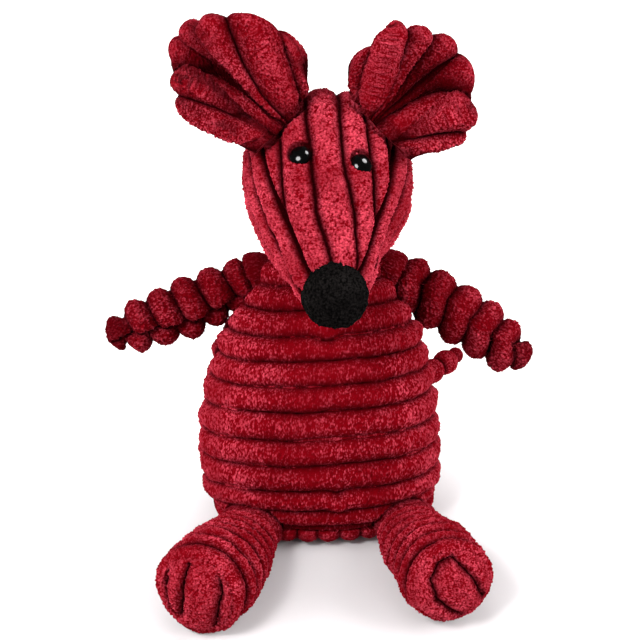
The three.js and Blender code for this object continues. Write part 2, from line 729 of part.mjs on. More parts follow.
// Point of the ear: across runs from -1 at the crown of the head to 1, along from the base to the rim.
function earPoint(frame, across, along, lift) {
  const tilt = Math.atan2(frame.centre.x, frame.centre.y);
  const turn = tilt + THREE.MathUtils.lerp(EAR_INNER_CORNER, EAR_OUTER_CORNER, (across + 1) / 2);
  const rim = frame.middle.clone()
    .addScaledVector(frame.out, frame.centre.x + EAR_RADIUS * Math.sin(turn))
    .addScaledVector(frame.up, frame.centre.y + EAR_RADIUS * Math.cos(turn));
  const foot = frame.middle.clone().addScaledVector(frame.base, (EAR_BASE_LENGTH / 2) * across);
  const fold = EAR_FOLD * (1 - Math.abs(across) ** EAR_FOLD_POWER) * Math.sin((Math.PI / 2) * along);
  return foot.lerp(rim, along).addScaledVector(frame.front, lift - fold);
}

function earLayer(frame, face) {
  const surface = (thick) => (column, row) => {
    const rib = wale(column * EAR_RIBS);
    const edge = Math.sqrt(1 - row ** EAR_RIM_POWER);
    const full = EAR_EDGE + (EAR_LAYER - EAR_EDGE) * edge;
    const lift = thick ? full - Math.min(WALE_DEPTH, full - EAR_EDGE) * (1 - rib) : 0;
    return earPoint(frame, 2 * column - 1, row, face * (lift + SEAM_GAP / 2));
  };
  const outFirst = face * frame.side > 0;
  const [top, bottom] = outFirst ? [surface(true), surface(false)] : [surface(false), surface(true)];
  return slab(2 * EAR_RIBS, EAR_ROWS, top, bottom);
}

function earHem(frame, radius) {
  const bar = new THREE.CapsuleGeometry(radius, EAR_BASE_LENGTH, HEM_STEPS, AROUND_LIMB);
  return fromGeometry(bar.rotateX(Math.PI / 2), frameAlong(frame.middle, frame.base, frame.up));
}

function addEar(name) {
  const frame = earFrame(name);
  const group = jointGroup(frame.middle);
  const front = earLayer(frame, 1).subtract(earHem(frame, EAR_HEM_RADIUS + FIT_GAP));
  addPiece(group, `${name}_ear_front`, front, corduroy);
  addPiece(group, `${name}_ear_back`, earLayer(frame, -1).add(earHem(frame, EAR_HEM_RADIUS)), corduroy);
  headSeats.push(earHem(frame, EAR_HEM_RADIUS + SEAT_GAP));
  const raised = { ...frame, middle: frame.middle.clone().addScaledVector(frame.normal, EAR_FOLD_ROOM) };
  headSeats.push(earHem(raised, EAR_HEM_RADIUS + EAR_FOLD_ROOM));
}

// Squeaker

function squeakerProfile() {
  const mouth = REED_RADIUS + FIT_GAP;
  const arc = (radius) => {
    const open = Math.acos(mouth / radius);
    return SQUEAKER_STEP_SHARES.map((share) => {
      const angle = THREE.MathUtils.lerp(-Math.PI / 2, open, share);
      return [share ? radius * Math.cos(angle) : 0, radius * Math.sin(angle)];
    });
  };
  return profileOf([...arc(SQUEAKER_RADIUS), ...arc(SQUEAKER_RADIUS - SQUEAKER_WALL).reverse()]);
}

function reedProfile() {
  const top = SQUEAKER_RADIUS + SQUEAKER_WALL;
  const bottom = top - REED_LENGTH;
  const corners = [[REED_BORE, bottom], [REED_RADIUS, bottom], [REED_RADIUS, top], [REED_BORE, top]];
  return profileOf([...corners, corners[0]]);
}

// Assembly

const headSeats = [];
['right', 'left'].forEach((name) => {
  addArm(name);
  addLeg(name);
  addEar(name);
});
addTail();

const without = (solid, cuts) => cuts.reduce((left, tool) => left.subtract(tool), solid);

const squeakerFrame = bodyFrame.clone().setPosition(bodyPoint(0, 0, SQUEAKER_HEIGHT));
const squeakerRadius = SQUEAKER_RADIUS + 2 * SEAT_GAP;
const squeakerRoom = sphere(bodyPoint(0, 0, SQUEAKER_HEIGHT), squeakerRadius, AROUND_LINING);
const fillingHole = rod(REED_RADIUS + CLOTH, SQUEAKER_HEIGHT, crownHeight + OVERRUN, bodyFrame);

const body = jointGroup(new THREE.Vector3());
const seam = block(2 * BODY_REACH, SEAM_GAP, 4 * BODY_REACH, bodyFrame);
const sleeve = without(bodyShell, [...seats, fillingHole, seam]);
const upper = trimmed(sleeve, 1, BASE_SEAM_HEIGHT + SEAM_GAP, BASE_SEAM_TILT);
addPiece(body, 'body_front_panel', bodyHalf(upper, -1), corduroy);
addPiece(body, 'body_back_panel', bodyHalf(upper, 1), corduroy);
const lower = without(bodyShell, seats);
addPiece(body, 'base_panel', trimmed(lower, -1, BASE_SEAM_HEIGHT, BASE_SEAM_TILT), corduroy);
const fillDepth = LINING + FIT_GAP;
const bodyCore = bodySolid(fillDepth, false).add(neckBall(fillDepth, AROUND_LINING));
const bodyFill = above(bodyCore, CLOTH + FIT_GAP);
addPiece(body, 'body_stuffing', without(bodyFill, [...seats, squeakerRoom, fillingHole]), fibre);
addPiece(body, 'squeaker_bulb', lathe(squeakerProfile(), squeakerFrame, AROUND_LINING), squeakerRubber);
addPiece(body, 'squeaker_reed', lathe(reedProfile(), squeakerFrame), washerPlastic);

const head = jointGroup(neck);
headSeats.push(neckBall(-SEAT_GAP, AROUND_NECK));
const noseCentre = headPoint(0, 0, SNOUT_LENGTH - NOSE_SETBACK);
addPiece(head, 'nose', sphere(noseCentre, NOSE_RADIUS, AROUND_LINING), felt);
headSeats.push(sphere(noseCentre, NOSE_RADIUS + FIT_GAP, AROUND_LINING));
const clothCuts = [...headSeats, headSeam(-FACE_HALF_ANGLE), headSeam(FACE_HALF_ANGLE), headSeam(Math.PI)];
const fillCuts = [...headSeats];
Object.entries(sides).forEach(([name, side]) => {
  const frame = headSurfaceFrame(side * EYE_ANGLE, EYES_AHEAD[name], WALE_DEPTH);
  addPiece(head, `${name}_eye`, eyeSolid(frame), eyePlastic);
  addPiece(head, `${name}_eye_washer`, washerSolid(frame), washerPlastic);
  const pocket = eyePocket(frame);
  clothCuts.push(pocket.cloth);
  fillCuts.push(pocket.stuffing);
});
const hood = without(headSolid(0, true).subtract(headSolid(LINING, false)), clothCuts);
addPiece(head, 'face_panel', hood.intersect(headWedge(-FACE_HALF_ANGLE, FACE_HALF_ANGLE)), corduroy);
addPiece(head, 'left_cheek_panel', hood.intersect(headWedge(FACE_HALF_ANGLE, Math.PI)), corduroy);
addPiece(head, 'right_cheek_panel', hood.intersect(headWedge(-Math.PI, -FACE_HALF_ANGLE)), corduroy);
addPiece(head, 'head_stuffing', without(headSolid(fillDepth, false), fillCuts), fibre);

export default root;
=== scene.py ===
import math
from math import radians

import bpy
import numpy as np
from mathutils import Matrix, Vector


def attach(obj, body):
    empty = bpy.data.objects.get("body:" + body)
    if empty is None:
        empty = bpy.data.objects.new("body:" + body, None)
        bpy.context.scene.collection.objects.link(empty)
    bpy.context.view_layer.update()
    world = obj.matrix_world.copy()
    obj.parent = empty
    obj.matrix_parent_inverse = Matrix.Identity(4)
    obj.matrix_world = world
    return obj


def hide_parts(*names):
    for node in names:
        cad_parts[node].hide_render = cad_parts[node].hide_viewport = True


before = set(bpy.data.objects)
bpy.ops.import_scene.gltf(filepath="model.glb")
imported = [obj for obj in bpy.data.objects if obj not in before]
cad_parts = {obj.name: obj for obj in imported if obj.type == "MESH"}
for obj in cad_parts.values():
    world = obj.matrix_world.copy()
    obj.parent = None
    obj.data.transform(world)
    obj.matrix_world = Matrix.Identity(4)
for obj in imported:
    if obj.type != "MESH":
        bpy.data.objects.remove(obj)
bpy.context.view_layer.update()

bl_info = {
    "name": "Plush mouse dog toy",
    "version": (1, 0, 0),
    "blender": (4, 5, 0),
    "location": "View3D > Sidebar > Plush mouse",
    "description": "Builds the corduroy covers, nose, eyes and stage of a sitting plush mouse",
    "category": "Object",
}

# Sizes are in millimetres, and repeat the CAD model's own. Meshes are made in metres.
MM = 0.001
PI = math.pi
SIDES = {"right": -1, "left": 1}
CLOTH, WALE_POWER, SEAT_GAP, FLOOR_CUT = 1.8, 0.65, 0.9, 0.5

# Rows, columns and first random seed of each piece's grid.
GRIDS = {
    "body_front": (265, 361, 100), "body_back": (217, 273, 140), "base": (60, 400, 170),
    "face": (313, 169, 200), "left_cheek": (281, 193, 230), "right_cheek": (281, 193, 260),
    "right_ear_front": (101, 361, 315), "right_ear_back": (101, 361, 285),
    "left_ear_front": (101, 361, 355), "left_ear_back": (101, 361, 325),
    "right_arm": (230, 190, 400), "left_arm": (230, 190, 430),
    "right_leg": (190, 230, 500), "left_leg": (190, 230, 530),
    "right_sole": (50, 200, 515), "left_sole": (50, 200, 545),
    "tail": (260, 84, 600), "nose": (130, 200, 700), "eye": (26, 64, 0),
}


# Points and noise

TABLE_SIZE = 4096


def unit(vectors):
    """Each vector divided by its length."""
    return vectors / np.maximum(np.linalg.norm(vectors, axis=-1, keepdims=True), 1e-9)


def wale(turns):
    """A bulge between two grooves: a low power of a sine, 0 in the groove and 1 on the crown."""
    return np.abs(np.sin(PI * turns)) ** WALE_POWER


def smooth(share):
    """Share from 0 to 1 with level ends: three squares less two cubes."""
    share = np.clip(share, 0, 1)
    return share * share * (3 - 2 * share)


def bump(distance, width):
    """1 at no distance and falling off as a bell to nearly nothing at two widths."""
    return np.exp(-(distance / width) ** 2)


def run_of(line):
    """Length so far at each point of a line."""
    return np.concatenate([[0], np.cumsum(np.linalg.norm(np.diff(line, axis=0), axis=-1))])


def ring(columns):
    """Angles once round, without the last."""
    return np.linspace(0, 2 * PI, columns, endpoint=False)


def drawn_from(cells, seed):
    """Random number from 0 to 1 for each whole-numbered cell, by a shuffled table read once for each axis."""
    draw = np.random.default_rng(seed)
    order, values = draw.permutation(TABLE_SIZE), draw.random(TABLE_SIZE)
    found = cells[..., 0] & (TABLE_SIZE - 1)
    for axis in (1, 2):
        found = (order[found] + cells[..., axis]) & (TABLE_SIZE - 1)
    return values[order[found]]


def noise(points, length, seed):
    """Smooth noise from -1 to 1: each point blends the eight corners of its cell, which is length wide."""
    scaled = points / length
    cell = np.floor(scaled).astype(np.int64)
    part = smooth(scaled - cell)
    total = np.zeros(points.shape[:-1])
    for corner in np.ndindex(2, 2, 2):
        weight = np.prod(np.where(corner, part, 1 - part), axis=-1)
        total += weight * drawn_from(cell + np.array(corner), seed)
    return 2 * total - 1


def rough(points, seed, layers):
    """Sum of noises, each with its height, its length and its step from the seed."""
    return sum(height * noise(points, length, seed + step) for height, length, step in layers)


def tufts(points, length, seed):
    """Domes round scattered seeds, one seed in each cell: 1 on a seed, falling to 0 at a cell's width from it."""
    scaled = points / length
    cell = np.floor(scaled).astype(np.int64)
    nearest = np.ones(points.shape[:-1])
    for corner in np.ndindex(3, 3, 3):
        there = cell + np.array(corner) - 1
        place = np.stack([drawn_from(there, seed + k) for k in range(3)], axis=-1)
        nearest = np.minimum(nearest, np.sum((there + place - scaled) ** 2, axis=-1))
    return 1 - np.sqrt(nearest)


def ribs(place, grooves):
    """Bulges between grooves whose places are given for each point: a wale in each gap.
    Returns the bulge, which is 0 in a groove, the width of the rib there, its number and the share across it."""
    number = np.zeros(place.shape, int)
    for mark in grooves[1:-1]:
        number += place > mark
    marks = np.stack(np.broadcast_arrays(*grooves, place)[:-1], axis=-1)
    low, high = (np.take_along_axis(marks, number[..., None] + k, axis=-1)[..., 0] for k in (0, 1))
    width = np.maximum(high - low, 1e-6)
    share = np.clip((place - low) / width, 0, 1)
    return wale(share), width, number, share


def normals_of(grid, centre=None, wrap=False):
    """Unit normals of a grid of points: the cross product of its steps across and along. With a centre,
    all are turned to point away from it on the whole."""
    across = (np.roll(grid, -1, axis=1) - np.roll(grid, 1, axis=1)) / 2 if wrap else np.gradient(grid, axis=1)
    normals = unit(np.cross(across, np.gradient(grid, axis=0)))
    inside = centre is not None and np.sum(normals * (grid - centre), axis=-1).mean() < 0
    return -normals if inside else normals


def squeezed(points, direction, share=0.5):
    """Points squeezed along one direction to a share, so that what is spaced by them is longer that way."""
    direction = unit(np.asarray(direction, float))
    return points - (points @ direction)[..., None] * direction * (1 - share)


def pressed(points, normals, start, radius, axis=(0, 0, 1), wide=1.0, length=None, reach=math.inf):
    """Points inside a ball go in along their normals until they reach its far side, or by reach at most.
    The ball is some times as wide along an axis, and with a length it is a rod that starts at its middle."""
    share = 0 if length else 1 / wide
    offset, facing = squeezed(points - start, axis, share), squeezed(normals, axis, share)
    square = np.maximum(np.sum(facing * facing, axis=-1), 1e-6)
    lean = np.sum(offset * facing, axis=-1)
    inside = np.sum(offset * offset, axis=-1) - radius * radius
    way = (lean + np.sqrt(np.maximum(lean * lean - square * inside, 0))) / square
    held = inside < 0
    if length:
        along = (points - start) @ axis
        held = held & (along > 0) & (along < length)
    return points - normals * np.where(held, np.clip(way, 0, reach), 0)[..., None]


def frame_along(origin, direction, side):
    """Origin and axes of a frame whose third axis is a direction and whose first is near side."""
    z = unit(np.asarray(direction, float))
    y = unit(np.cross(z, side))
    return origin, np.cross(y, z), y, z


def placed(place, x, y, z):
    """Points at distances along a frame's axes."""
    origin, *axes = place
    return origin + sum(np.asarray(value)[..., None] * axis for value, axis in zip((x, y, z), axes))


def hoops(place, radius, around, along):
    """Rings round a frame's third axis: a radius by the cosine and sine of an angle, at distances along."""
    return placed(place, radius * np.cos(around), radius * np.sin(around), along + 0 * radius)


# Meshes

INNER_STEP = 8
# Where the parts of a piece lie in its map, from 0 to 1.
MAP_TOP, MAP_GAP, MAP_END = 0.88, 0.02, 0.99
STRIP_START, STRIP_WIDTH = 0.55, 0.002
FAN_FOOT, FAN_TOP, FAN_STEP = 0.9, 0.94, 0.05


def grid_faces(rows, columns, wrap=False):
    """Corner numbers of the quads between a grid's points, with each corner's place from 0 to 1 both ways."""
    span = columns if wrap else columns - 1
    i, j = np.meshgrid(np.arange(rows - 1), np.arange(span), indexing="ij")
    corners = [(0, 0), (0, 1), (1, 1), (1, 0)]
    quads = np.stack([(i + a) * columns + (j + b) % columns for a, b in corners], axis=-1)
    places = [np.stack([(j + b) / span, (i + a) / (rows - 1)], axis=-1) for a, b in corners]
    return quads.reshape(-1, 4), np.stack(places, axis=-2).reshape(-1, 4, 2)


def edge_loop(rows, columns):
    """Numbers of a grid's outermost points, once round in the order of its quads."""
    number = np.arange(rows * columns).reshape(rows, columns)
    return np.concatenate([number[0, :-1], number[:-1, -1], number[-1, :0:-1], number[:0:-1, 0]])


def signed_volume(points, faces):
    """Volume inside a closed skin, less than nothing where its faces point inwards."""
    total = 0.0
    for corners in faces:
        first, *others = (points[numbers] for numbers in corners.T)
        for second, third in zip(others, others[1:]):
            total += np.sum(first * np.cross(second, third))
    return total / 6


def put_mesh(name, points, faces, places, values):
    """Mesh object from points in millimetres and arrays of faces, with a map and a value for each point."""
    if signed_volume(points, faces) < 0:
        faces, places = ([each[:, ::-1] for each in kind] for kind in (faces, places))
    sizes = np.concatenate([np.full(len(corners), corners.shape[1]) for corners in faces])
    mesh = bpy.data.meshes.new(name)
    mesh.vertices.add(len(points))
    mesh.vertices.foreach_set("co", (points * MM).astype(np.float32).ravel())
    mesh.loops.add(int(sizes.sum()))
    mesh.polygons.add(len(sizes))
    mesh.loops.foreach_set("vertex_index", np.concatenate([each.ravel() for each in faces]).astype(np.int32))
    mesh.polygons.foreach_set("loop_start", (np.cumsum(sizes) - sizes).astype(np.int32))
    mesh.polygons.foreach_set("loop_total", sizes.astype(np.int32))
    mesh.update(calc_edges=True)
    flat_map = mesh.uv_layers.new(name="OFBake")
    flat_map.data.foreach_set("uv", np.concatenate([each.ravel() for each in places]).astype(np.float32))
    for title, value in values.items():
        kind, key = ("FLOAT", "value") if value.ndim == 1 else ("FLOAT_VECTOR", "vector")
        mesh.attributes.new(title, kind, "POINT").data.foreach_set(key, value.astype(np.float32).ravel())
    mesh.shade_smooth()
    piece = bpy.data.objects.new(name, mesh)
    bpy.context.scene.collection.objects.link(piece)
    return piece


def skin_piece(name, grid, under, values):
    """Closed panel: a grid of points, a coarser grid of those under it, and strips that join their edges."""
    rows, columns = grid.shape[:2]
    under = under[::INNER_STEP, ::INNER_STEP]
    quads, places = grid_faces(rows, columns)
    inner, inner_places = grid_faces(*under.shape[:2])
    fine, coarse = edge_loop(rows, columns), edge_loop(*under.shape[:2]) + rows * columns
    half = INNER_STEP // 2
    at = [fine[(np.arange(len(coarse)) * INNER_STEP + k) % len(fine)] for k in range(INNER_STEP + 1)]
    ends = [coarse, np.roll(coarse, -1)]
    strips = [np.stack([at[k + 1], at[k], ends[int(k >= half)]], axis=-1) for k in range(INNER_STEP)]
    strips = np.concatenate([*strips, np.stack([*ends, at[half]], axis=-1)])
    inner_places = inner_places[:, ::-1] * (0.5, 1 - MAP_TOP - MAP_GAP) + (0, MAP_TOP + MAP_GAP / 2)
    spots = np.linspace(STRIP_START, MAP_END, len(strips))[:, None]
    up = 0 * spots + (MAP_TOP + MAP_GAP, MAP_TOP + MAP_GAP, MAP_END)
    strip_places = np.stack([spots + (0, STRIP_WIDTH, 0), up], axis=-1)
    points = np.concatenate([grid.reshape(-1, 3), under.reshape(-1, 3)])
    for key, value in values.items():
        both = (value, value[::INNER_STEP, ::INNER_STEP])
        values[key] = np.concatenate([each.reshape(-1, *value.shape[2:]) for each in both])
    faces = [quads, inner[:, ::-1] + rows * columns, strips]
    return put_mesh(name, points, faces, [places * (1, MAP_TOP), inner_places, strip_places], values)


def tube_piece(name, grid, values):
    """Closed tube: a grid of points whose columns run round it, with a fan over each end."""
    rows, columns = grid.shape[:2]
    quads, places = grid_faces(rows, columns, wrap=True)
    around, count = np.arange(columns), rows * columns
    after = (around + 1) % columns
    last = count - columns
    bottom = np.stack([np.full(columns, count), after, around], axis=-1)
    top = np.stack([np.full(columns, count + 1), last + around, last + after], axis=-1)

    def capped(value):
        ends = np.stack([value[0].mean(axis=0), value[-1].mean(axis=0)])
        return np.concatenate([value.reshape(-1, *value.shape[2:]), ends])

    share = (around / columns)[:, None]
    low = np.stack([share + (0, 1 / columns, 0), 0 * share + (FAN_FOOT, FAN_TOP, FAN_TOP)], axis=-1)
    places = [places * (1, MAP_TOP), low, low + (0, FAN_STEP)]
    values = {key: capped(value) for key, value in values.items()}
    return put_mesh(name, capped(grid), [quads, bottom, top], places, values)


def cloth_size(name):
    """One of the cloth's sizes in millimetres."""
    return getattr(bpy.context.scene.plush_cloth, name) / MM


def piled(grid, normals, crown, seed, at=None, height=None, nap_and_painted_light=0.0, level=1.0, floor=None):
    """Grid raised by its pile: domed tufts, finer noise and slow drift, all lower in the grooves.
    The tufts are spaced by the points of at, which is squeezed where they run longer one way.
    The nap is how far the pile is brushed up, and more of it shows lighter tips; it is also set piece by piece and
    place by place as painted light and shade, higher on the head and the body's flanks and lower in the ears' cups. A
    level under 1 is darker: it draws pieces darker than the head, as painted shade.
    No point lies under the floor. Returns the grid and what the material reads at each point."""
    height = cloth_size("pile_height") if height is None else height
    size = cloth_size("tuft_size")
    at = grid if at is None else at
    domes, fine, clumps = tufts(at, size, seed), noise(grid, size * 0.5, seed + 5), noise(at, size * 2.6, seed + 6)
    drift = noise(grid, size * 8, seed + 7)
    rise = height * (0.3 + 0.7 * crown) * (domes - 0.4 + 0.5 * fine + 0.2 * clumps + 0.15 * drift)
    tuft = np.clip(0.75 * domes + 0.25 * fine + 0.2 * clumps + 0.05 + nap_and_painted_light, -0.5, 1.5)
    grain = at * MM
    grid = grid + normals * rise[..., None]
    if floor is not None:
        grid[..., 2] = np.maximum(grid[..., 2], floor)
    return grid, {"crown": crown * level, "tuft": tuft, "grain": grain}


def finish_piece(piece, material, body, nodes):
    """Gives a piece its material and its slot, parents it to what it rides on, and hides the solids it stands for."""
    piece.data.materials.append(material)
    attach(piece, body)
    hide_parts(*nodes)


# Materials

CRUMB_SCALE, PATCH_SCALE, FIBRE_SCALE = 1150, 45, 1900


def feed(tree, node, inputs):
    """Gives a node's inputs their values, or joins them to the sockets given."""
    for title, value in inputs.items():
        if isinstance(value, bpy.types.NodeSocket):
            tree.links.new(value, node.inputs[title])
        else:
            node.inputs[title].default_value = value


def add_node(tree, kind, inputs, **settings):
    """Shader node of a kind with its settings and inputs."""
    node = tree.nodes.new(f"ShaderNode{kind}")
    for title, value in settings.items():
        setattr(node, title, value)
    feed(tree, node, inputs)
    return node


def new_material(name):
    """Material, its node tree and its Principled shader."""
    material = bpy.data.materials.new(name)
    material.use_nodes = True
    return material, material.node_tree, material.node_tree.nodes["Principled BSDF"]


def pile_group():
    """Colour and relief of cut pile: deep colour in the grooves as painted shade, cloth colour on the crowns, light
    tips on the tufts that are partly painted highlight with painted shade between them, and slow patches where the
    pile is brushed another way."""
    if "Cut pile" in bpy.data.node_groups:
        return bpy.data.node_groups["Cut pile"]
    tree = bpy.data.node_groups.new("Cut pile", "ShaderNodeTree")
    sockets = {
        "INPUT": {
            "Vector": "Vector", "Crown": "Float", "Tuft": "Float", "Deep": "Color", "Cloth": "Color",
            "Tip": "Color", "Crumb Scale": "Float", "Fibre Scale": "Float", "Patch Scale": "Float",
            "Tip Share": "Float",
        },
        "OUTPUT": {"Colour": "Color", "Height": "Float"},
    }
    for way, titles in sockets.items():
        for title, kind in titles.items():
            tree.interface.new_socket(title, in_out=way, socket_type=f"NodeSocket{kind}")
    given = tree.nodes.new("NodeGroupInput").outputs

    def noise_of(scale, detail):
        inputs = {"Vector": given["Vector"], "Scale": given[scale], "Detail": detail, "Roughness": 0.6}
        return add_node(tree, "TexNoise", inputs).outputs["Fac"]

    def maths(kind, first, second):
        return add_node(tree, "Math", {0: first, 1: second}, operation=kind).outputs[0]

    def mixed(share, first, second):
        inputs = {"Factor": share, "A": first, "B": second}
        return add_node(tree, "Mix", inputs, data_type="RGBA").outputs["Result"]

    def graded(value, *stops):
        node = add_node(tree, "ValToRGB", {"Fac": value})
        for mark, (place, grey) in zip(node.color_ramp.elements, stops):
            mark.position = place
            mark.color = (grey, grey, grey, 1)
        return node.outputs["Color"]

    cells = add_node(tree, "TexVoronoi", {"Vector": given["Vector"], "Scale": given["Crumb Scale"]}).outputs
    split = add_node(tree, "SeparateColor", {"Color": cells["Color"]}).outputs
    fibre, patch = noise_of("Fibre Scale", 3.0), noise_of("Patch Scale", 2.0)
    crown = graded(given["Crown"], (0.12, 0.0), (0.7, 1.0))
    crumb = maths("MULTIPLY", maths("SUBTRACT", 0.85, cells["Distance"]), 0.4)
    crumb = maths("ADD", crumb, maths("MULTIPLY", split["Red"], 0.08))
    soft = maths("ADD", maths("MULTIPLY", given["Tuft"], 0.4), maths("MULTIPLY", fibre, 0.25))
    lifted = maths("ADD", soft, crumb)
    tips = graded(lifted, (0.36, 0.0), (1.0, 0.85))
    brushed = graded(patch, (0.35, 0.35), (0.65, 1.0))
    share = maths("MULTIPLY", maths("MULTIPLY", tips, brushed), given["Tip Share"])
    # Painted shade: the deep colour fills the grooves. Painted highlight: the tip colour lightens the tips of the
    # tufts.
    colour = mixed(maths("MULTIPLY", share, crown), mixed(crown, given["Deep"], given["Cloth"]), given["Tip"])
    feed(tree, tree.nodes.new("NodeGroupOutput"), {"Colour": colour, "Height": lifted})
    return tree


def pile_material(name, colours, tip_share, fibre_scale, relief, sheen, tint=(1, 1, 1)):
    """Matt cut pile that reads the piece's own crown, tuft and grain, with a soft sheen. The colours are
    those of the grooves, which is painted shade, of the cloth, and of the tips, which is partly painted highlight."""
    material, tree, surface = new_material(name)

    def read(title, socket="Fac"):
        return add_node(tree, "Attribute", {}, attribute_name=title).outputs[socket]

    deep, cloth, tip = ((*colour, 1) for colour in colours)
    pile = add_node(tree, "Group", {
        "Vector": read("grain", "Vector"), "Crown": read("crown"), "Tuft": read("tuft"),
        "Deep": deep, "Cloth": cloth, "Tip": tip, "Tip Share": tip_share,
        "Crumb Scale": CRUMB_SCALE, "Fibre Scale": fibre_scale, "Patch Scale": PATCH_SCALE,
    }, node_tree=pile_group()).outputs
    raised = add_node(tree, "Bump", {"Strength": 1.0, "Distance": relief * MM, "Height": pile["Height"]})
    feed(tree, surface, {
        "Base Color": pile["Colour"], "Normal": raised.outputs["Normal"], "Roughness": 0.95,
        "Specular IOR Level": 0.0, "Sheen Weight": sheen, "Sheen Roughness": 0.35, "Sheen Tint": (*tint, 1),
    })
    return material


def plain_material(name, colour, roughness, mottle, level=0.5):
    """Moulded plastic or rubber: a colour with faint noise and a fine uneven gloss."""
    material, tree, surface = new_material(name)
    place = add_node(tree, "TexCoord", {}).outputs["Object"]
    cloud = add_node(tree, "TexNoise", {"Vector": place, "Scale": 250, "Detail": 4}).outputs["Fac"]
    dark = (*[part * (1 - mottle) for part in colour], 1)
    tint = add_node(tree, "Mix", {"Factor": cloud, "A": dark, "B": (*colour, 1)}, data_type="RGBA")
    gloss = add_node(tree, "MapRange", {"Value": cloud, "To Min": roughness * 0.8, "To Max": roughness * 1.2})
    feed(tree, surface, {
        "Base Color": tint.outputs["Result"], "Roughness": gloss.outputs["Result"], "Specular IOR Level": level,
    })
    return material


def cover(piece, body, nodes):
    """Finishes a soft piece in the crimson corduroy, which all covers share."""
    cloth = bpy.context.scene.plush_cloth
    corduroy = bpy.data.materials.get("Corduroy") or pile_material(
        "Corduroy", (cloth.groove_shade_colour, cloth.cloth_colour, cloth.tip_and_highlight_colour),
        1.0, FIBRE_SCALE, 0.6, 0.12, (1, 0.1, 0.15),
    )
    finish_piece(piece, corduroy, body, nodes)


# Body

BODY_LEAN = radians(20)
BODY_PLACE = np.array([0, -12, 7.5])
BODY_UP = np.array([0, math.sin(BODY_LEAN), math.cos(BODY_LEAN)])
BODY_WIDTH, BODY_DEPTH = 121, 98
BELLY_HEIGHT, SHOULDER_RISE, BELLY_DROP = 30, 101, 54
BODY_SQUARENESS, SHOULDER_POWER, BELLY_POWER = 2.35, 1.7, 4.6
BASE_SEAM_HEIGHT, BASE_SEAM_TILT = 6, radians(5)
NECK_RADIUS, NECK_HEIGHT = 28, 110
SHOULDER = 33, 108
# How far the body's middle is moved to the right, and the height and spread of that bend.
BODY_SIDEWAYS, BEND_HEIGHT, BEND_SPREAD = 2.6, 36, 48
SEAM_TEST = np.linspace(0.02, 0.5, 240)

# Where the grooves of the body lie: the height in wales of the smooth body, and the groove that is sewn there.
BODY_GROOVES = [0, 3.4, 4.25, 5.03, 5.96, 6.89, 7.88, 8.78, 9.65, 10.52, 11.45, 15], [0, *range(3, 13), 16]
# Noises as height, length and step of the seed, and dips of the front's grooves as depth, place, width and wale.
BODY_WANDER = (0.9, 42, 0), (0.5, 13, 1), (0.3, 3.5, 8)
BODY_PUFF = (0.7, 26, 2), (0.55, 10, 3)
BODY_DIPS = (2.4, 1, 5, 10.6), (2.0, 4, 4, 4.6)
BODY_SKEW, BODY_SAG, RIB_STEP = 0.035, 0.0002, 0.7
BODY_ROUND, NECK_CUT = 45, 0.4
# Depths of the side seams and the base seam, height of the puckers beside them, and the belly's lump.
SIDE_SEAM_DIP, BASE_SEAM_DIP, PUCKER = 2.6, 1.6, 1.1
LUMP_HEIGHT, LUMP_ASIDE, LUMP_WALE, LUMP_WIDTH = 2.0, 4, 4.55, 4
BASE_ROUND, BASE_WALE_SHARE, BASE_GROOVE, BASE_RIM_DIP = 15, 0.78, 2.4, 1.2
# Where the painted sheen on the body's flanks starts, and how far it takes to rise.
FLANK_SHEEN_START, FLANK_SHEEN_WIDTH = 24, 32


def body_point(x, y, height):
    """Point of the body from its place on the leaning axis: turned back by the lean, then moved."""
    cos, sin = math.cos(BODY_LEAN), math.sin(BODY_LEAN)
    spot = np.broadcast_arrays(x, y * cos + height * sin, height * cos - y * sin)
    return np.stack(spot, axis=-1) + BODY_PLACE


NECK = body_point(0, 0, NECK_HEIGHT)


def body_profile(share):
    """Radius and height at a share of the side view's length, from under the belly to the crown, and that
    length. The side view is half an oval above the belly's widest ring and a squarer one under it."""
    turns = np.linspace(0, 1, 4001)
    high, drop = turns > 0.5, np.cos(PI * turns)
    height = BELLY_HEIGHT - drop * np.where(high, SHOULDER_RISE, BELLY_DROP)
    radius = BODY_DEPTH / 2 * np.sqrt(1 - np.abs(drop) ** np.where(high, SHOULDER_POWER, BELLY_POWER))
    run = run_of(np.stack([radius, height], axis=-1))
    at = share * run[-1]
    return np.interp(at, run, radius), np.interp(at, run, height), run[-1]


def body_surface(share, angle):
    """Smooth body at a share of its side view and an angle round it from the front:
    the radius on a squarish ring whose sides follow a power of sine and cosine."""
    radius, height, _ = body_profile(share)
    across, along = (np.sign(v) * np.abs(v) ** (2 / BODY_SQUARENESS) for v in (np.sin(angle), -np.cos(angle)))
    x = radius * (BODY_WIDTH / BODY_DEPTH) * across - BODY_SIDEWAYS * bump(height - BEND_HEIGHT, BEND_SPREAD)
    return body_point(x, radius * along, height)


def seam_height(points):
    """Height of points over the tilted plane of the base seam."""
    up = points[..., 2] - BASE_SEAM_HEIGHT
    return up * math.cos(BASE_SEAM_TILT) + points[..., 1] * math.sin(BASE_SEAM_TILT)


def body_seats(points, normals):
    """Presses the body in where arms, legs and tail are sewn on, as round seats and beds."""
    arm = ARM_RADIUS + SEAT_GAP
    for name in SIDES:
        points = pressed(points, normals, arm_place(name)[0], ARM_ROOT_RADIUS + SEAT_GAP)
        for lowering in (0, ARM_LOWERING):
            shoulder, _, _, bed = arm_place(name, lowering)
            points = pressed(points, normals, shoulder, arm, bed, length=BED_LENGTH, reach=BED_REACH)
        hip, aside, _, _ = leg_place(name)
        points = pressed(points, normals, hip, HIP_RADIUS + SEAT_GAP, aside, HIP_WIDTH_SHARE)
    return pressed(points, normals, TAIL_ROOT, TAIL_RADIUS + SEAT_GAP)


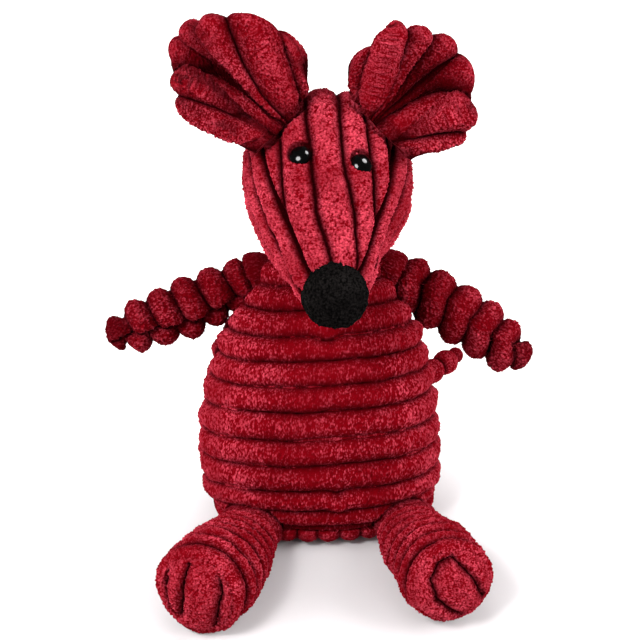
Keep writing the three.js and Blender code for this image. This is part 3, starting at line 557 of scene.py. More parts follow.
def body_panel(name, side):
    """Front (-1) or back (1) half of the body: rows run up from the base seam to the crown,
    and wales go round it, sagging a little in the middle and running uphill to one side."""
    rows, columns, seed = GRIDS[name]
    pitch = cloth_size("wale_pitch")
    spread = np.linspace(-PI / 2, PI / 2, columns)
    angle = spread + (0 if side < 0 else PI)
    seam = seam_height(body_surface(SEAM_TEST[:, None], angle))
    first = np.argmax(seam > 0, axis=0)
    low, high = seam[first - 1, np.arange(columns)], seam[first, np.arange(columns)]
    start = SEAM_TEST[first - 1] + (SEAM_TEST[1] - SEAM_TEST[0]) * low / (low - high)
    part = np.linspace(0, 1, rows)[:, None]
    share = start + (0.995 - start) * part
    grid = body_surface(share, angle)
    normals = normals_of(grid, body_point(0, 0, 40))
    x, height = grid[..., 0], share * round(body_profile(0.0)[2] / pitch)
    skew = BODY_SAG * x ** 2 - side * BODY_SKEW * x
    lump = 0
    if side < 0:
        lump = LUMP_HEIGHT * bump(np.hypot(x - LUMP_ASIDE, (height - LUMP_WALE) * pitch), LUMP_WIDTH)
        for depth, middle, width, at in BODY_DIPS:
            skew = skew - depth * bump(x - middle, width) * bump(height - at, 0.5)
    turns = np.interp(height - (skew - rough(grid, seed, BODY_WANDER)) / pitch, *BODY_GROOVES)
    crown = wale(turns) ** 0.75
    steps = np.random.default_rng(seed).uniform(-RIB_STEP, RIB_STEP, 32)
    step = steps[np.floor(turns).astype(int) % 32] * crown
    from_side = (PI / 2 - np.abs(spread)) * BODY_ROUND
    seam_dip = SIDE_SEAM_DIP * bump(from_side, 1.8) + BASE_SEAM_DIP * bump(part * 60, 2.0)
    pucker = PUCKER * noise(grid * (1, 1, 1.6), 8, seed + 9) * bump(from_side, 14)
    depth = cloth_size("wale_depth") * (1 + 0.35 * noise(grid, 20, seed + 4))
    lift = rough(grid, seed, BODY_PUFF) + pucker + step + lump - depth * (1 - crown) - seam_dip - 0.5
    grid = grid + normals * lift[..., None]
    ball = grid - NECK
    near = np.linalg.norm(ball, axis=-1) < NECK_RADIUS - NECK_CUT
    grid = np.where(near[..., None], NECK + unit(ball) * (NECK_RADIUS - NECK_CUT), grid)
    # At the neck the crowns take a middle value, and along the side seams they darken as painted shade.
    crown = np.where(near, 0.6, crown) * (1 - 0.8 * bump(from_side, 1.2))
    grid = body_seats(grid, normals)
    # Painted sheen: the pile is drawn lighter towards the flanks by its nap and level. Elsewhere the body's level
    # draws it darker than the head, as painted shade.
    flank_sheen = smooth((np.abs(grid[..., 0]) - FLANK_SHEEN_START) / FLANK_SHEEN_WIDTH)
    nap_and_painted_light, level = 0.22 * flank_sheen - 0.25, 0.66 + 0.34 * flank_sheen
    grid, values = piled(grid, normals, crown, seed + 10, squeezed(grid, BODY_UP), None, nap_and_painted_light, level, floor=0.6)
    return skin_piece(f"{name}_cover", grid, grid - normals * CLOTH, values)


def base_panel():
    """The panel under the body: a flat seat on the floor, a round edge, and a low wall up to the base seam.
    Its wales run from front to back and show as scallops along the edge."""
    rows, columns, seed = GRIDS["base"]
    wall = body_surface(SEAM_TEST[:, None], ring(columns) - PI)
    rim = wall[np.argmax(seam_height(wall) > -0.3, axis=0), np.arange(columns)]
    middle = np.array([0, rim[:, 1].mean(), 0])
    away = (rim - middle) * (1, 1, 0)
    inward = BASE_ROUND / np.linalg.norm(away, axis=-1)
    turn = np.linspace(0, PI / 2, 26)[:, None]
    flat = np.linspace(0.01, 1, rows)[:-1, None]
    share = np.concatenate([flat * (1 - inward), 1 - inward * (1 - np.sin(turn))])
    lift = np.concatenate([0 * flat, 1 - np.cos(turn)])
    grid = middle + away * share[..., None]
    grid[..., 2] = rim[:, 2] * lift
    pitch = BASE_WALE_SHARE * cloth_size("wale_pitch")
    crown = wale(grid[..., 0] / pitch + 0.5 + 0.08 * noise(grid, 12, seed + 1))
    normals = normals_of(grid, middle + (0, 0, 20), wrap=True)
    edge = smooth((share - 0.6) / 0.3)
    grid = grid - normals * (BASE_GROOVE * (1 - crown) * edge + BASE_RIM_DIP * bump(1 - lift, 0.25))[..., None]
    height = 0.6 * cloth_size("pile_height")
    # Painted shade under the body: away from the edge the seat takes the deep colour of the grooves.
    grid, values = piled(grid, normals, crown * edge, seed, height=height, nap_and_painted_light=-0.2, floor=0.0)
    top = grid[-1] + (middle + (0, 0, 6) - grid[-1]) * 0.06
    grid = np.concatenate([grid, [top, middle + (top - middle) * 0.5 + (0, 0, 1.5)]])
    values = {key: np.concatenate([value, value[-1:], value[-1:]]) for key, value in values.items()}
    return tube_piece("base_cover", grid, values)


# Arms, legs and tail

ARM_RADIUS, ARM_ROOT_RADIUS, ARM_GROOVE, ARM_SWELL_SHARE = 14, 12.6, 4.2, 0.88
ARM_TIP_LENGTH, ARM_BEADS, ARM_PITCH = 5.5, 5, 13.5
ARM_DROOPS = {"right": radians(22.5), "left": radians(33)}
ARM_FORWARD, ARM_LOWERING = radians(4), radians(12)
BED_LENGTH, BED_REACH = 3 * ARM_PITCH, 22
ARM_KNOBS = {"right": 8.6, "left": 7.6}
ARM_STRETCH = {"right": 1.0, "left": 1.09}
ARM_SAG = (0, 12, 25, 50, 80), {"right": (0, 0, 0, 0.6, 2.2), "left": (0, 2.2, 2.4, 0.8, -1.6)}
# How dark each arm is drawn, as painted shade: both lie in less light than the body, and the right one in less than
# the left.
ARM_SHADE_LEVELS = {"right": 0.56, "left": 0.62}
# The seam's angle round each arm, how many half beads it shifts the beads by, and how many more at shares
# of the way round from the seam.
ARM_SEAM = {"right": 1.8, "left": -2.08}
ARM_PHASE = {"right": 1.0, "left": 0.36}
ARM_TURNS = {
    "right": ((0, 0.3, 0.75, 1), (0.43, -0.02, -0.8, -0.57)),
    "left": ((0, 0.25, 0.5, 0.75, 1), (-0.26, -0.36, 0.64, -0.05, -0.26)),
}
SEAM_DIP, SEAM_WIDTH = 1.6, 2.6

HIP_HALF_WIDTH, HIP_AHEAD, HIP_RADIUS, HIP_WIDTH_SHARE = 38, 48.5, 12, 1.35
FOOT_RADIUS, FOOT_LENGTH, LEG_BEADS, LEG_PITCH, LEG_GROOVE = 21.5, 24, 3, 12.5, 3
LEG_SPLAYS = {"right": radians(24), "left": radians(12)}
LEG_LENGTH = LEG_PITCH * (LEG_BEADS + 0.5) + FOOT_LENGTH
LEG_MARKS = (-30, 4, 13, 21.5, 30.5, 38.5, 47, 55, 90)
LEG_SWAY = (2.4, 24, 1), (0.7, 8, 2), (0.3, 3.5, 3)
# How far the leg's middle line moves aside and up at distances along it, how much shorter it is sewn, and how
# much fuller its foot is.
LEG_STATIONS = (0, 20, 38, 58, 80)
LEG_ASIDE = {"right": (0, 1.5, 3.2, 2.0, 1.8), "left": (0, 0, 1.6, 1.9, 2.0)}
LEG_RISE = {"right": (0, 0, 0.2, 0.5, 0.6), "left": (0, 0.5, 1.5, 2.3, 2.4)}
LEG_TRIM = {"right": 2.5, "left": 5.0}
FOOT_FULLNESS = {"right": 1.1, "left": -0.6}
SOLE_RADIUS, SOLE_BULGE, SOLE_ROLL, SOLE_DIP = 16, 10.6, 10.5, 5.4
SOLE_WANDER = (0.8, 9, 0), (0.3, 3, 1)
# Grooves of each sole: lines through points (across, up).
SOLES = {
    "right": (
        ((-3.5, 15), (-3.8, 0), (-5, -10), (-8.5, -11.5), (-13, 0), (-14.5, 10)),
        ((10.5, 17), (13.5, 5), (10, -15)),
    ),
    "left": (((3, -14), (-8.5, -3), (-10.5, 6), (-6, 13), (-1, 16), (9, 5), (14, -8)),),
}

TAIL_RADIUS, TAIL_ROOT_BACK, TAIL_BEADS, TAIL_PITCH = 6.6, 42, 7, 13
TAIL_HEADING, TAIL_BEND, TAIL_LIFT = radians(63.5), radians(-23), 3.2
TAIL_TIP_RADIUS, TAIL_TIP_LENGTH, TAIL_GROOVE = 4.4, 7, 2.4
TAIL_ROOT = np.array([0, TAIL_ROOT_BACK, TAIL_RADIUS - FLOOR_CUT])
THINNEST = 0.3
# A limb's knob follows a half sine from this share of it on.
KNOB_START = 0.12


def limb_rows(rows, root_share, root, end):
    """Distances of a limb's rows along it: a share of them go round the back of its root as a quarter turn."""
    steps = np.linspace(0, 1, rows)
    back = -root * np.cos(PI / 2 * np.clip(steps / root_share, 0, 1))
    return np.where(steps < root_share, back, (steps - root_share) / (1 - root_share) * end)


def limb_profile(along, root, radii, pitch, groove, tip, tip_length):
    """Radius of beads strung on an axis at a distance along it from the middle of a round root,
    and how near the crown of its bead each place is."""
    edge, end = pitch / 2, pitch * (len(radii) + 0.5)
    root_part = np.sqrt(np.maximum(root * root - np.minimum(along, edge) ** 2, 0))
    bead = np.clip((along - edge) / pitch, 0, len(radii) - 1e-6)
    number = bead.astype(int)
    radius, rising = np.asarray(radii)[number], wale(bead)
    last = (number == len(radii) - 1) & (bead - number > 0.5)
    low = np.where(last, tip * math.sin(PI * KNOB_START) ** 0.5, radius - groove)
    past = np.clip((along - end) / tip_length, 0, 1)
    knob = tip * np.sin(PI * (KNOB_START + (1 - KNOB_START) * past)) ** 0.5
    made = np.where(along < edge, root_part, np.where(along > end, knob, low + (radius - low) * rising))
    return made, np.where(along < edge, 0.6, np.where(along > end, 0.5, rising))


def rooted(radius, along, root):
    """Radius that follows the root's ball behind its middle, and is nowhere under the thinnest."""
    ball = np.sqrt(np.maximum(root * root - along * along, 0))
    return np.maximum(np.where(along < 0, ball, radius), THINNEST)


def arm_place(name, lowering=0):
    """Frame of an arm, which stands in its shoulder and points out, down and a little ahead."""
    side, droop = SIDES[name], ARM_DROOPS[name] + lowering
    ahead = math.cos(ARM_DROOPS[name]) * math.tan(ARM_FORWARD)
    out = np.array([side * math.cos(droop), -ahead, -math.sin(droop)])
    return frame_along(body_point(side * SHOULDER[0], 0, SHOULDER[1]), out, np.array([0, 0, 1]))


def arm_piece(name):
    """Arm of five beads. One seam runs along it, and the wales wind round the arm from the seam and back to it,
    so that the lobes on its two sides are out of step."""
    rows, columns, seed = GRIDS[f"{name}_arm"]
    place, side = arm_place(name), SIDES[name]
    end = ARM_PITCH * (ARM_BEADS + 0.5) + ARM_TIP_LENGTH
    around = ring(columns)
    along = limb_rows(rows, 1 / 12, ARM_ROOT_RADIUS, end)[:, None]
    inner = smooth((along - 3) / 9)
    seam = ARM_SEAM[name] + 0.16 * np.sin(along / 9 + seed) * inner
    winding = (side * (side * seam - around)) % (2 * PI) / (2 * PI)
    from_seam = np.minimum(winding, 1 - winding) * 2 * PI * ARM_RADIUS
    phase = ARM_PHASE[name] + np.interp(winding, *ARM_TURNS[name]) * smooth((end - along) / 12)
    shifted = along + 0.5 * ARM_PITCH * phase * smooth((along + 2) / 7)
    swell = ARM_SWELL_SHARE + (1 - ARM_SWELL_SHARE) * np.sin(PI * (np.arange(ARM_BEADS) + 0.5) / ARM_BEADS)
    uneven = 1 + np.random.default_rng(seed).uniform(-0.04, 0.04, ARM_BEADS)
    radius, crown = limb_profile(
        shifted, ARM_ROOT_RADIUS, ARM_RADIUS * swell * uneven, ARM_PITCH, ARM_GROOVE, ARM_KNOBS[name],
        ARM_TIP_LENGTH + ARM_PHASE[name] * ARM_PITCH / 2,
    )
    beside = bump(from_seam, SEAM_WIDTH) * inner * smooth((end - along) / 6)
    dip = radius - radius.min(axis=1, keepdims=True) + SEAM_DIP
    radius = rooted(radius - dip * beside, along, ARM_ROOT_RADIUS)
    reach = along * (1 + (ARM_STRETCH[name] - 1) * smooth(along / 40))
    lower = 1 + 0.2 * smooth(-np.cos(around) * 1.3) * inner
    sag = np.interp(along, ARM_SAG[0], ARM_SAG[1][name])
    grid = placed(place, radius * np.cos(around) * lower + sag, radius * np.sin(around), reach + 0 * radius)
    normals = normals_of(grid, place[0] + place[3] * 30, wrap=True)
    grid = grid + normals * (noise(grid, 15, seed) * 0.8 * inner - 0.4)[..., None]
    # The crowns darken along the arm's seam as painted shade.
    crown = crown ** 0.7 * (1 - 0.85 * bump(from_seam, 1.5) * inner)
    at = squeezed(grid, place[3], 0.6)
    # Painted shade: the arm's lower nap and its level draw it darker.
    grid, values = piled(grid, normals, crown, seed + 3, at, height=1.3, nap_and_painted_light=-0.2, level=ARM_SHADE_LEVELS[name])
    return tube_piece(f"{name}_arm_cover", grid, values)


def leg_place(name):
    """Frame of a leg, which stands in its hip and points ahead, aside by its splay and up to its foot."""
    side, splay = SIDES[name], LEG_SPLAYS[name]
    hip = np.array([side * HIP_HALF_WIDTH, -HIP_AHEAD, HIP_RADIUS - FLOOR_CUT])
    climb = math.atan2(FOOT_RADIUS - HIP_RADIUS, LEG_LENGTH - FOOT_LENGTH / 2)
    out = np.array([side * math.sin(splay), -math.cos(splay), math.tan(climb)])
    return frame_along(hip, out, np.array([math.cos(splay), side * math.sin(splay), 0]))


def leg_shift(name, along):
    """How far a leg's middle line is moved at a distance along it."""
    aside, rise = (np.interp(along, LEG_STATIONS, way[name])[..., None] for way in (LEG_ASIDE, LEG_RISE))
    return aside * leg_place(name)[1] + rise * np.array([0, 0, 1])


def leg_piece(name):
    """Leg that grows to the foot, ringed by narrow wales, and rounded in to the sole. The leg is wider than high
    at the hip and round at the foot, and is flat where it rests on the floor."""
    rows, columns, seed = GRIDS[f"{name}_leg"]
    place, end = leg_place(name), LEG_LENGTH - LEG_TRIM[name]
    around = ring(columns)
    along = limb_rows(rows, 0.1, HIP_RADIUS, end + 0.01)[:, None]
    inner, left = smooth(along / 10), end - along
    wavy = along + rough(hoops(place, HIP_RADIUS, around, along), seed, LEG_SWAY) * inner * smooth(left / 6)
    crown = ribs(wavy, LEG_MARKS)[0]
    last = LEG_MARKS[-2]
    crown = np.where(wavy > last, wale((wavy - last) / (2 * (end + 1 - last))), crown)
    foot, rim = FOOT_RADIUS + FOOT_FULLNESS[name], SOLE_RADIUS + CLOTH
    full = HIP_RADIUS + (foot - HIP_RADIUS) * smooth(along / (end - 16)) ** 0.8
    closing = np.clip(left / 6, 0, 1)
    full = np.where(closing < 1, rim + (full - rim) * np.sqrt(1 - (1 - closing) ** 2), full)
    radius = rooted(full - LEG_GROOVE * (1 - crown) * inner * smooth(left / 3), along, HIP_RADIUS)
    spread = HIP_WIDTH_SHARE + (1 - HIP_WIDTH_SHARE) * np.clip(along / (LEG_PITCH * LEG_BEADS), 0, 1)
    grid = placed(place, spread * radius * np.cos(around), radius * np.sin(around), along + 0 * radius)
    grid = grid + leg_shift(name, along)
    normals = normals_of(grid, place[0] + place[3] * 40, wrap=True)
    foot_part = smooth((along - LEG_PITCH * LEG_BEADS) / 12)
    puff = 0.8 * noise(grid, 15, seed) + 0.5 * foot_part * noise(grid, 7, seed + 6)
    grid = grid + normals * (puff * inner * smooth(left / 2) - 0.3)[..., None]
    crown = np.where(along < 5, 0.6, crown)
    # Painted shade: the leg's lower nap and its level draw it darker than the head.
    grid, values = piled(grid, normals, crown, seed + 4, nap_and_painted_light=-0.12, level=0.75, floor=0.0)
    return tube_piece(f"{name}_leg_cover", grid, values)


def sole_piece(name):
    """Sole of a foot: a low dome with a flat back. Its ribs are the rolls between grooves, and rise
    with the distance from the nearest groove."""
    rows, columns, seed = GRIDS[f"{name}_sole"]
    place, end = leg_place(name), LEG_LENGTH - LEG_TRIM[name]
    share = np.sin(np.linspace(PI / 2, 0.01, rows))[:, None]
    around = ring(columns)
    radius = (SOLE_RADIUS + 1.5) * share
    x, y = radius * np.cos(around), radius * np.sin(around)
    flat = np.stack([x, y, 0 * x], axis=-1)
    spot = np.stack([x + rough(flat, seed, SOLE_WANDER), y + 0.8 * noise(flat, 9, seed + 5)], axis=-1)
    away = np.full_like(x, 2 * SOLE_RADIUS)
    for line in SOLES[name]:
        for first, after in zip(line, line[1:]):
            offset, run = spot - first, np.subtract(after, first)
            part = np.clip(offset @ run / (run @ run), 0, 1)
            away = np.minimum(away, np.linalg.norm(offset - part[..., None] * run, axis=-1))
    crown = wale(np.minimum(away / SOLE_ROLL, 0.5))
    edge = smooth((share - 0.88) / 0.12)
    dome = SOLE_BULGE * np.sqrt(1 - share ** 2 * 0.999) - 0.8
    dip = np.minimum(SOLE_DIP * (1 - crown) * (1 - edge), dome + 0.6)
    shift = leg_shift(name, end)
    grid = placed(place, x, y, end + dome - dip - 0.2) + shift
    normals = normals_of(grid, place[0], wrap=True)
    # Painted shade: the sole's level draws it darker than the head.
    grid, values = piled(grid, normals, np.maximum(crown, 0.6 * edge), seed + 2, level=0.8)
    back = placed(place, x[:1] * 0.97, y[:1] * 0.97, end - CLOTH + 0 * x[:1]) + shift
    grid = np.concatenate([back, grid])
    grid[..., 2] = np.maximum(grid[..., 2], 0.2)
    values = {key: np.concatenate([value[:1], value]) for key, value in values.items()}
    return tube_piece(f"{name}_sole_cover", grid, values)


def tail_piece():
    """Tail of small beads that lies on the floor along an arc, worked out from its chords."""
    rows, columns, seed = GRIDS["tail"]
    whole = TAIL_PITCH * (TAIL_BEADS + 0.5) + TAIL_TIP_LENGTH
    along = limb_rows(rows, 0.06, TAIL_RADIUS, whole)
    radii = [TAIL_RADIUS] * TAIL_BEADS
    radius, crown = limb_profile(
        along[:, None], TAIL_RADIUS, radii, TAIL_PITCH, TAIL_GROOVE, TAIL_TIP_RADIUS, TAIL_TIP_LENGTH)
    radius = rooted(radius, along[:, None], TAIL_RADIUS)
    half = TAIL_BEND * np.maximum(along, 0) / whole / 2
    mean, heading = TAIL_HEADING + half, TAIL_HEADING + 2 * half
    chord = along * np.sinc(half / PI)
    rise = TAIL_LIFT * smooth(along / 60)
    centre = (TAIL_ROOT + np.stack([chord * np.sin(mean), chord * np.cos(mean), rise], axis=-1))[:, None]
    sideways = np.stack([np.cos(heading), -np.sin(heading), 0 * heading], axis=-1)[:, None]
    around = ring(columns)[:, None]
    normals = unit(sideways * np.cos(around) + np.array([0, 0, 1]) * np.sin(around))
    grid = centre + radius[..., None] * normals
    grid, values = piled(grid, normals, crown * np.ones(columns), seed, height=0.8, nap_and_painted_light=-0.2, floor=0.0)
    return tube_piece("tail_cover", grid, values)


# Head

HEAD_RISE, HEAD_SHIFT = 53, 2
HEAD_ROLL, HEAD_PITCH = radians(1.5), radians(13)
HEAD_WIDTH, HEAD_HEIGHT, HEAD_BACK_LENGTH = 83, 80, 42
SNOUT_LENGTH, SNOUT_WIDTH, SNOUT_POWER = 86, 29, 1.6
FACE_HALF_ANGLE = radians(52)
NOSE_RADIUS, NOSE_SETBACK, NOSE_LIFT = 15, 3, 1.2
EYE_RADIUS, EYE_DOME, EYE_DEPTH, EYE_ANGLE = 5.2, 4.0, 2.6, radians(23)
EYES_AHEAD = {"right": 25, "left": 29.5}
FORWARD = np.array([0, -math.cos(HEAD_PITCH), -math.sin(HEAD_PITCH)])
HEAD_CENTRE = NECK + np.array([HEAD_SHIFT, 0, HEAD_RISE])
HEAD_PLACE = frame_along(HEAD_CENTRE, FORWARD, np.array([math.cos(HEAD_ROLL), 0, -math.sin(HEAD_ROLL)]))

# Grooves of the face: distances ahead, and where each groove lies across the face there.
FACE_STATIONS = (-42, -5, 18, 32, 53, 75, 86)
FACE_GROOVES = (
    (-60, -60, -60, -58, -54, -46, -40),
    (-34, -38.5, -39, -39, -38, -31, -26),
    (-22, -25.5, -25.7, -26, -26.2, -20, -16),
    (-10, -11.5, -10.2, -10.1, -8.4, -1.3, 0.2),
    (4, 5.1, 5.3, 6.2, 10.8, 13, 11.5),
    (16, 18.6, 20, 21.8, 24, 20.5, 18),
    (30, 31, 33, 35.5, 37.5, 33, 29),
    (60, 60, 60, 58, 52, 46, 40),
)
HEAD_WANDER = (0.8, 40, 0), (0.45, 11, 1), (0.3, 3.5, 8)
HEAD_PUFF = (0.8, 26, 3), (0.45, 9, 4)
# Height, place ahead and width of each panel's own swelling, and how far it crumples.
HEAD_SHAPES = {"face": (1.2, -8, 22), "left_cheek": (-2.6, 46, 18), "right_cheek": (-1.4, 6, 20)}
FACE_CRUMPLE, CHEEK_CRUMPLE = 0.12, 0.8
HEAD_SEAM_DIP, PLEAT, PLEAT_TURNS = 1.8, 0.8, 17
# How near the nose the head is pressed in, and how far under the nose it then lies.
NOSE_REACH, NOSE_BED = 5, 2.4


def head_radius(ahead):
    """Half width of the head at a distance ahead of its middle: a round back and a tapering snout."""
    back = np.sqrt(np.maximum(0, 1 - (ahead / HEAD_BACK_LENGTH) ** 2))
    snout = SNOUT_WIDTH / HEAD_WIDTH
    front = snout + (1 - snout) * np.maximum(0, 1 - (ahead / SNOUT_LENGTH) ** 2) ** SNOUT_POWER
    return HEAD_WIDTH / 2 * np.where(ahead < 0, back, front)


def head_point(angle, radius, ahead):
    """Point of the head at an angle from its top, slightly lower than wide."""
    tall = radius * (HEAD_HEIGHT / HEAD_WIDTH)
    return placed(HEAD_PLACE, radius * np.sin(angle), tall * np.cos(angle), ahead)


NOSE_PLACE = head_point(0, 0, SNOUT_LENGTH - NOSE_SETBACK)


def head_rows(rows):
    """Distances ahead at even steps along the side view, from the back of the head to the snout's end."""
    turn = np.linspace(0, 1, 3001)
    ahead = np.concatenate([-HEAD_BACK_LENGTH * np.cos(turn * PI / 2)[:-1], turn * SNOUT_LENGTH])
    run = run_of(np.stack([head_radius(ahead), ahead], axis=-1))
    return np.interp(np.linspace(0.004, 0.999, rows) * run[-1], run, ahead)


def eye_place(name):
    """Frame on the smooth head under an eye, whose third axis points straight out."""
    side, ahead = SIDES[name], EYES_AHEAD[name]
    small = EYE_RADIUS / HEAD_WIDTH

    def at(turn, move):
        return head_point(side * EYE_ANGLE + turn, head_radius(ahead + move), ahead + move)

    out = unit(np.cross(at(small, 0) - at(-small, 0), at(0, EYE_RADIUS) - at(0, -EYE_RADIUS)))
    out = out * np.sign(out @ (at(0, 0) - head_point(0, 0, ahead)))
    return frame_along(at(0, 0) - out * EYE_DEPTH, out, np.array([1, 0, 0]))


def head_seats(points, normals):
    """Presses the head in round the neck, the hems of the ears and the nose."""
    points = pressed(points, normals, NECK, NECK_RADIUS + SEAT_GAP)
    nose = head_point(0, NOSE_LIFT, SNOUT_LENGTH - NOSE_SETBACK)
    offset = points - nose
    near = np.linalg.norm(offset, axis=-1, keepdims=True)
    for name in SIDES:
        middle, base, _, _ = ear_place(name)
        start, stop = (middle + base * (way * EAR_BASE_LENGTH / 2) for way in (-1, 1))
        hem = EAR_HEM_RADIUS + SEAT_GAP
        points = pressed(points, normals, start, hem, base, length=EAR_BASE_LENGTH, reach=9)
        for end in (start, stop):
            points = pressed(points, normals, end, hem)
    far = NOSE_RADIUS + NOSE_REACH
    under = np.interp(near, (NOSE_RADIUS - 0.5, far), (NOSE_RADIUS - NOSE_BED, far))
    return np.where(near < far, nose + unit(offset) * under, points)


def head_panel(name, start, stop):
    """Panel of the head between two angles from its top. Its wales run from the back of the head to the nose,
    keep their width, and end at the seams where the panel narrows. Small pleats gather it in round the nose."""
    rows, columns, seed = GRIDS[name]
    angle = np.linspace(start, stop, columns)
    ahead = head_rows(rows)[:, None]
    radius = head_radius(ahead)
    grid = head_point(angle, radius, ahead)
    normals = normals_of(grid, HEAD_CENTRE)
    wander = rough(grid, seed, HEAD_WANDER)
    is_face = name == "face"
    if is_face:
        grooves = [np.interp(ahead, FACE_STATIONS, groove) for groove in FACE_GROOVES]
        edge = np.minimum(angle - start, stop - angle) * radius
        # The face's crowns fade to the deep colour at its seams, as painted shade.
        crown = ribs(radius * angle + wander, grooves)[0] * wale(np.clip(edge / 5.5, 0, 0.5))
    else:
        edge = (np.abs(angle) - FACE_HALF_ANGLE) * radius
        crown = wale((edge + 1.4 * wander) / cloth_size("wale_pitch"))
    fade = smooth(radius / SNOUT_WIDTH) * smooth((ahead + HEAD_BACK_LENGTH) / 14)
    seam = bump(edge, 1.7)
    depth = cloth_size("wale_depth") * (1 + 0.3 * noise(grid, 22, seed + 2))
    snout = smooth((ahead - 38) / 30)
    pleat = np.sin(angle * PLEAT_TURNS + 2.5 * noise(grid, 16, seed + 6))
    pleat = pleat * snout * smooth((np.abs(angle) - 0.45) / 0.5)
    crumple = noise(grid * (1, 1, 0.7), 7, seed + 7) * (0.4 + snout)
    puff = rough(grid, seed, HEAD_PUFF) + PLEAT * pleat + crumple * (FACE_CRUMPLE if is_face else CHEEK_CRUMPLE)
    swelling, middle, width = HEAD_SHAPES[name]
    shape = swelling * bump(ahead - middle, width) * smooth(edge / 14)
    shape = shape * smooth((PI - np.abs(angle)) * radius / 14)
    lift = puff * (0.2 + 0.8 * smooth(edge / 6)) + shape
    lift = lift - depth * fade * (1 - crown) - HEAD_SEAM_DIP * seam - 0.5
    grid = grid + normals * lift[..., None]
    if is_face:
        for which in SIDES:
            origin, _, _, out = eye_place(which)
            offset = grid - origin
            height = offset @ out
            flat = np.linalg.norm(offset - height[..., None] * out + 1.9 * FORWARD, axis=-1)
            sunk = np.maximum(height + 1, 0) * smooth((EYE_RADIUS + 1 - flat) / 1.8)
            grid = grid - out * sunk[..., None]
            # Painted shade in the hollow round the eye: the crowns there are darkened.
            crown = crown * (1 - 0.6 * smooth((EYE_RADIUS + 1.6 - flat) / 1.6))
    # Painted shade: the crowns darken along the seams, and the power widens the dark of the grooves.
    crown = (crown * (1 - 0.75 * seam)) ** 1.5
    grid = head_seats(grid, normals)
    at = squeezed(grid, HEAD_PLACE[1], 0.8)
    # Painted light: a higher nap draws the head lighter than the other pieces, and lighter still towards the snout.
    grid, values = piled(grid, normals, crown, seed + 10, at, height=1.4, nap_and_painted_light=0.08 + 0.06 * snout)
    return skin_piece(f"{name}_cover", grid, grid - normals * CLOTH, values)


# Ears

EAR_BASE_LENGTH, EAR_RADIUS, EAR_FOLD, EAR_HEM_RADIUS = 36, 33, 17, 4.6
EAR_CENTRES = {"right": (18, 15.5), "left": (13, 12)}
EAR_AHEAD, EAR_STANDOFF = 4, 1.5
EAR_ANGLE, EAR_LEAN, EAR_TURN = radians(33), radians(12), radians(40)
# Share along the rays where the rows start, the rays' usual length, the ear's half width at its base and how much
# wider it is at its rim.
EAR_START, EAR_LENGTH, EAR_FOOT, EAR_SPREAD = -0.05, 45, 18, 30
EAR_WANDER = (0.8, 16, 0), (0.35, 4, 1)
EAR_CORNERS = radians(-105), radians(80)
# Each ear's grooves: shares across it at its rim and at its base.
EAR_GROOVES = {
    "right": (
        (-1.16, -0.74, -0.33, -0.06, 0.14, 0.41, 0.56, 0.75),
        (-1.2, -0.77, -0.12, -0.05, -0.02, 0.04, 0.42, 1.0),
    ),
    "left": (
        (-1.0, -0.62, -0.38, -0.1, 0.22, 0.66, 0.9, 1.06),
        (-1.16, -0.68, -0.2, -0.12, -0.05, 0.02, 0.7, 1.25),
    ),
}
# How far back the rim goes, from 0 to 1, and how long the rays are, at shares across.
EAR_FOLDS = {
    "right": (
        (-1.16, -0.74, -0.5, -0.34, -0.09, -0.01, 0.13, 0.39, 0.44, 0.57, 0.76),
        (0.2, 0.15, -0.35, -0.35, -0.3, 0.6, 1.3, 1.25, 0.1, 0.05, 0.6),
    ),
    "left": (
        (-1, -0.64, -0.54, -0.38, -0.1, 0.22, 0.63, 0.69, 0.9, 1.06),
        (0.35, 0.15, -0.42, -0.1, 0.7, 1.1, 1.0, -0.05, 0.1, 0.25),
    ),
}
EAR_REACH = {
    "right": ((-1.14, -0.76, -0.7, -0.3, 0.2, 0.36, 0.58, 0.77), (1.0, 0.98, 1.01, 1.06, 1.03, 1.0, 0.9, 0.82)),
    "left": (
        (-1, -0.7, -0.64, -0.5, -0.36, -0.1, 0.2, 0.6, 0.87, 1.06),
        (0.78, 0.8, 0.94, 1.05, 0.98, 0.94, 0.96, 0.97, 0.95, 0.98),
    ),
}
# How much darker the cup is drawn as painted shade, which part of the rays is gathered together, and how thick the
# ribs may be.
EAR_CUP_PAINTED_SHADE = {"right": 0.9, "left": 0.65}
EAR_GATHER = {"right": 0.2, "left": 0.0}
EAR_BULGE = {1: 5.0, -1: 3.6}


def ear_place(name):
    """Where an ear stands: the middle of its base, the way its base runs, and its own up and front."""
    side = SIDES[name]
    middle = head_point(side * EAR_ANGLE, head_radius(EAR_AHEAD) + EAR_STANDOFF, EAR_AHEAD)
    down = HEAD_PLACE[1] * side * math.cos(EAR_ANGLE) - HEAD_PLACE[2] * math.sin(EAR_ANGLE)
    base = down * math.cos(EAR_TURN) + FORWARD * math.sin(EAR_TURN)
    cos, sin = math.cos(EAR_LEAN), math.sin(EAR_LEAN)
    return middle, base, np.array([0, sin, cos]), np.array([0, -cos, sin])


def ear_surface(name, across, along):
    """Middle surface of an ear: straight rays from the base line to a round rim, pushed back by a fold
    that is deepest behind the lower lip."""
    middle, base, up, front = ear_place(name)
    out, high = EAR_CENTRES[name]
    turn = math.atan2(out, high) + EAR_CORNERS[0] + (EAR_CORNERS[1] - EAR_CORNERS[0]) * (across + 1) / 2
    rise = high + EAR_RADIUS * np.cos(turn)
    rim = middle + np.array([SIDES[name], 0, 0]) * (out + EAR_RADIUS * np.sin(turn))[..., None] + up * rise[..., None]
    foot = middle + base * (EAR_BASE_LENGTH / 2 * across)[..., None]
    fold = EAR_FOLD * np.interp(across, *EAR_FOLDS[name]) * np.sin(PI / 2 * np.clip(along, 0, 1)) ** 0.8
    reach = along * np.interp(across, *EAR_REACH[name])
    return foot + (rim - foot) * reach[..., None] - front * fold[..., None]


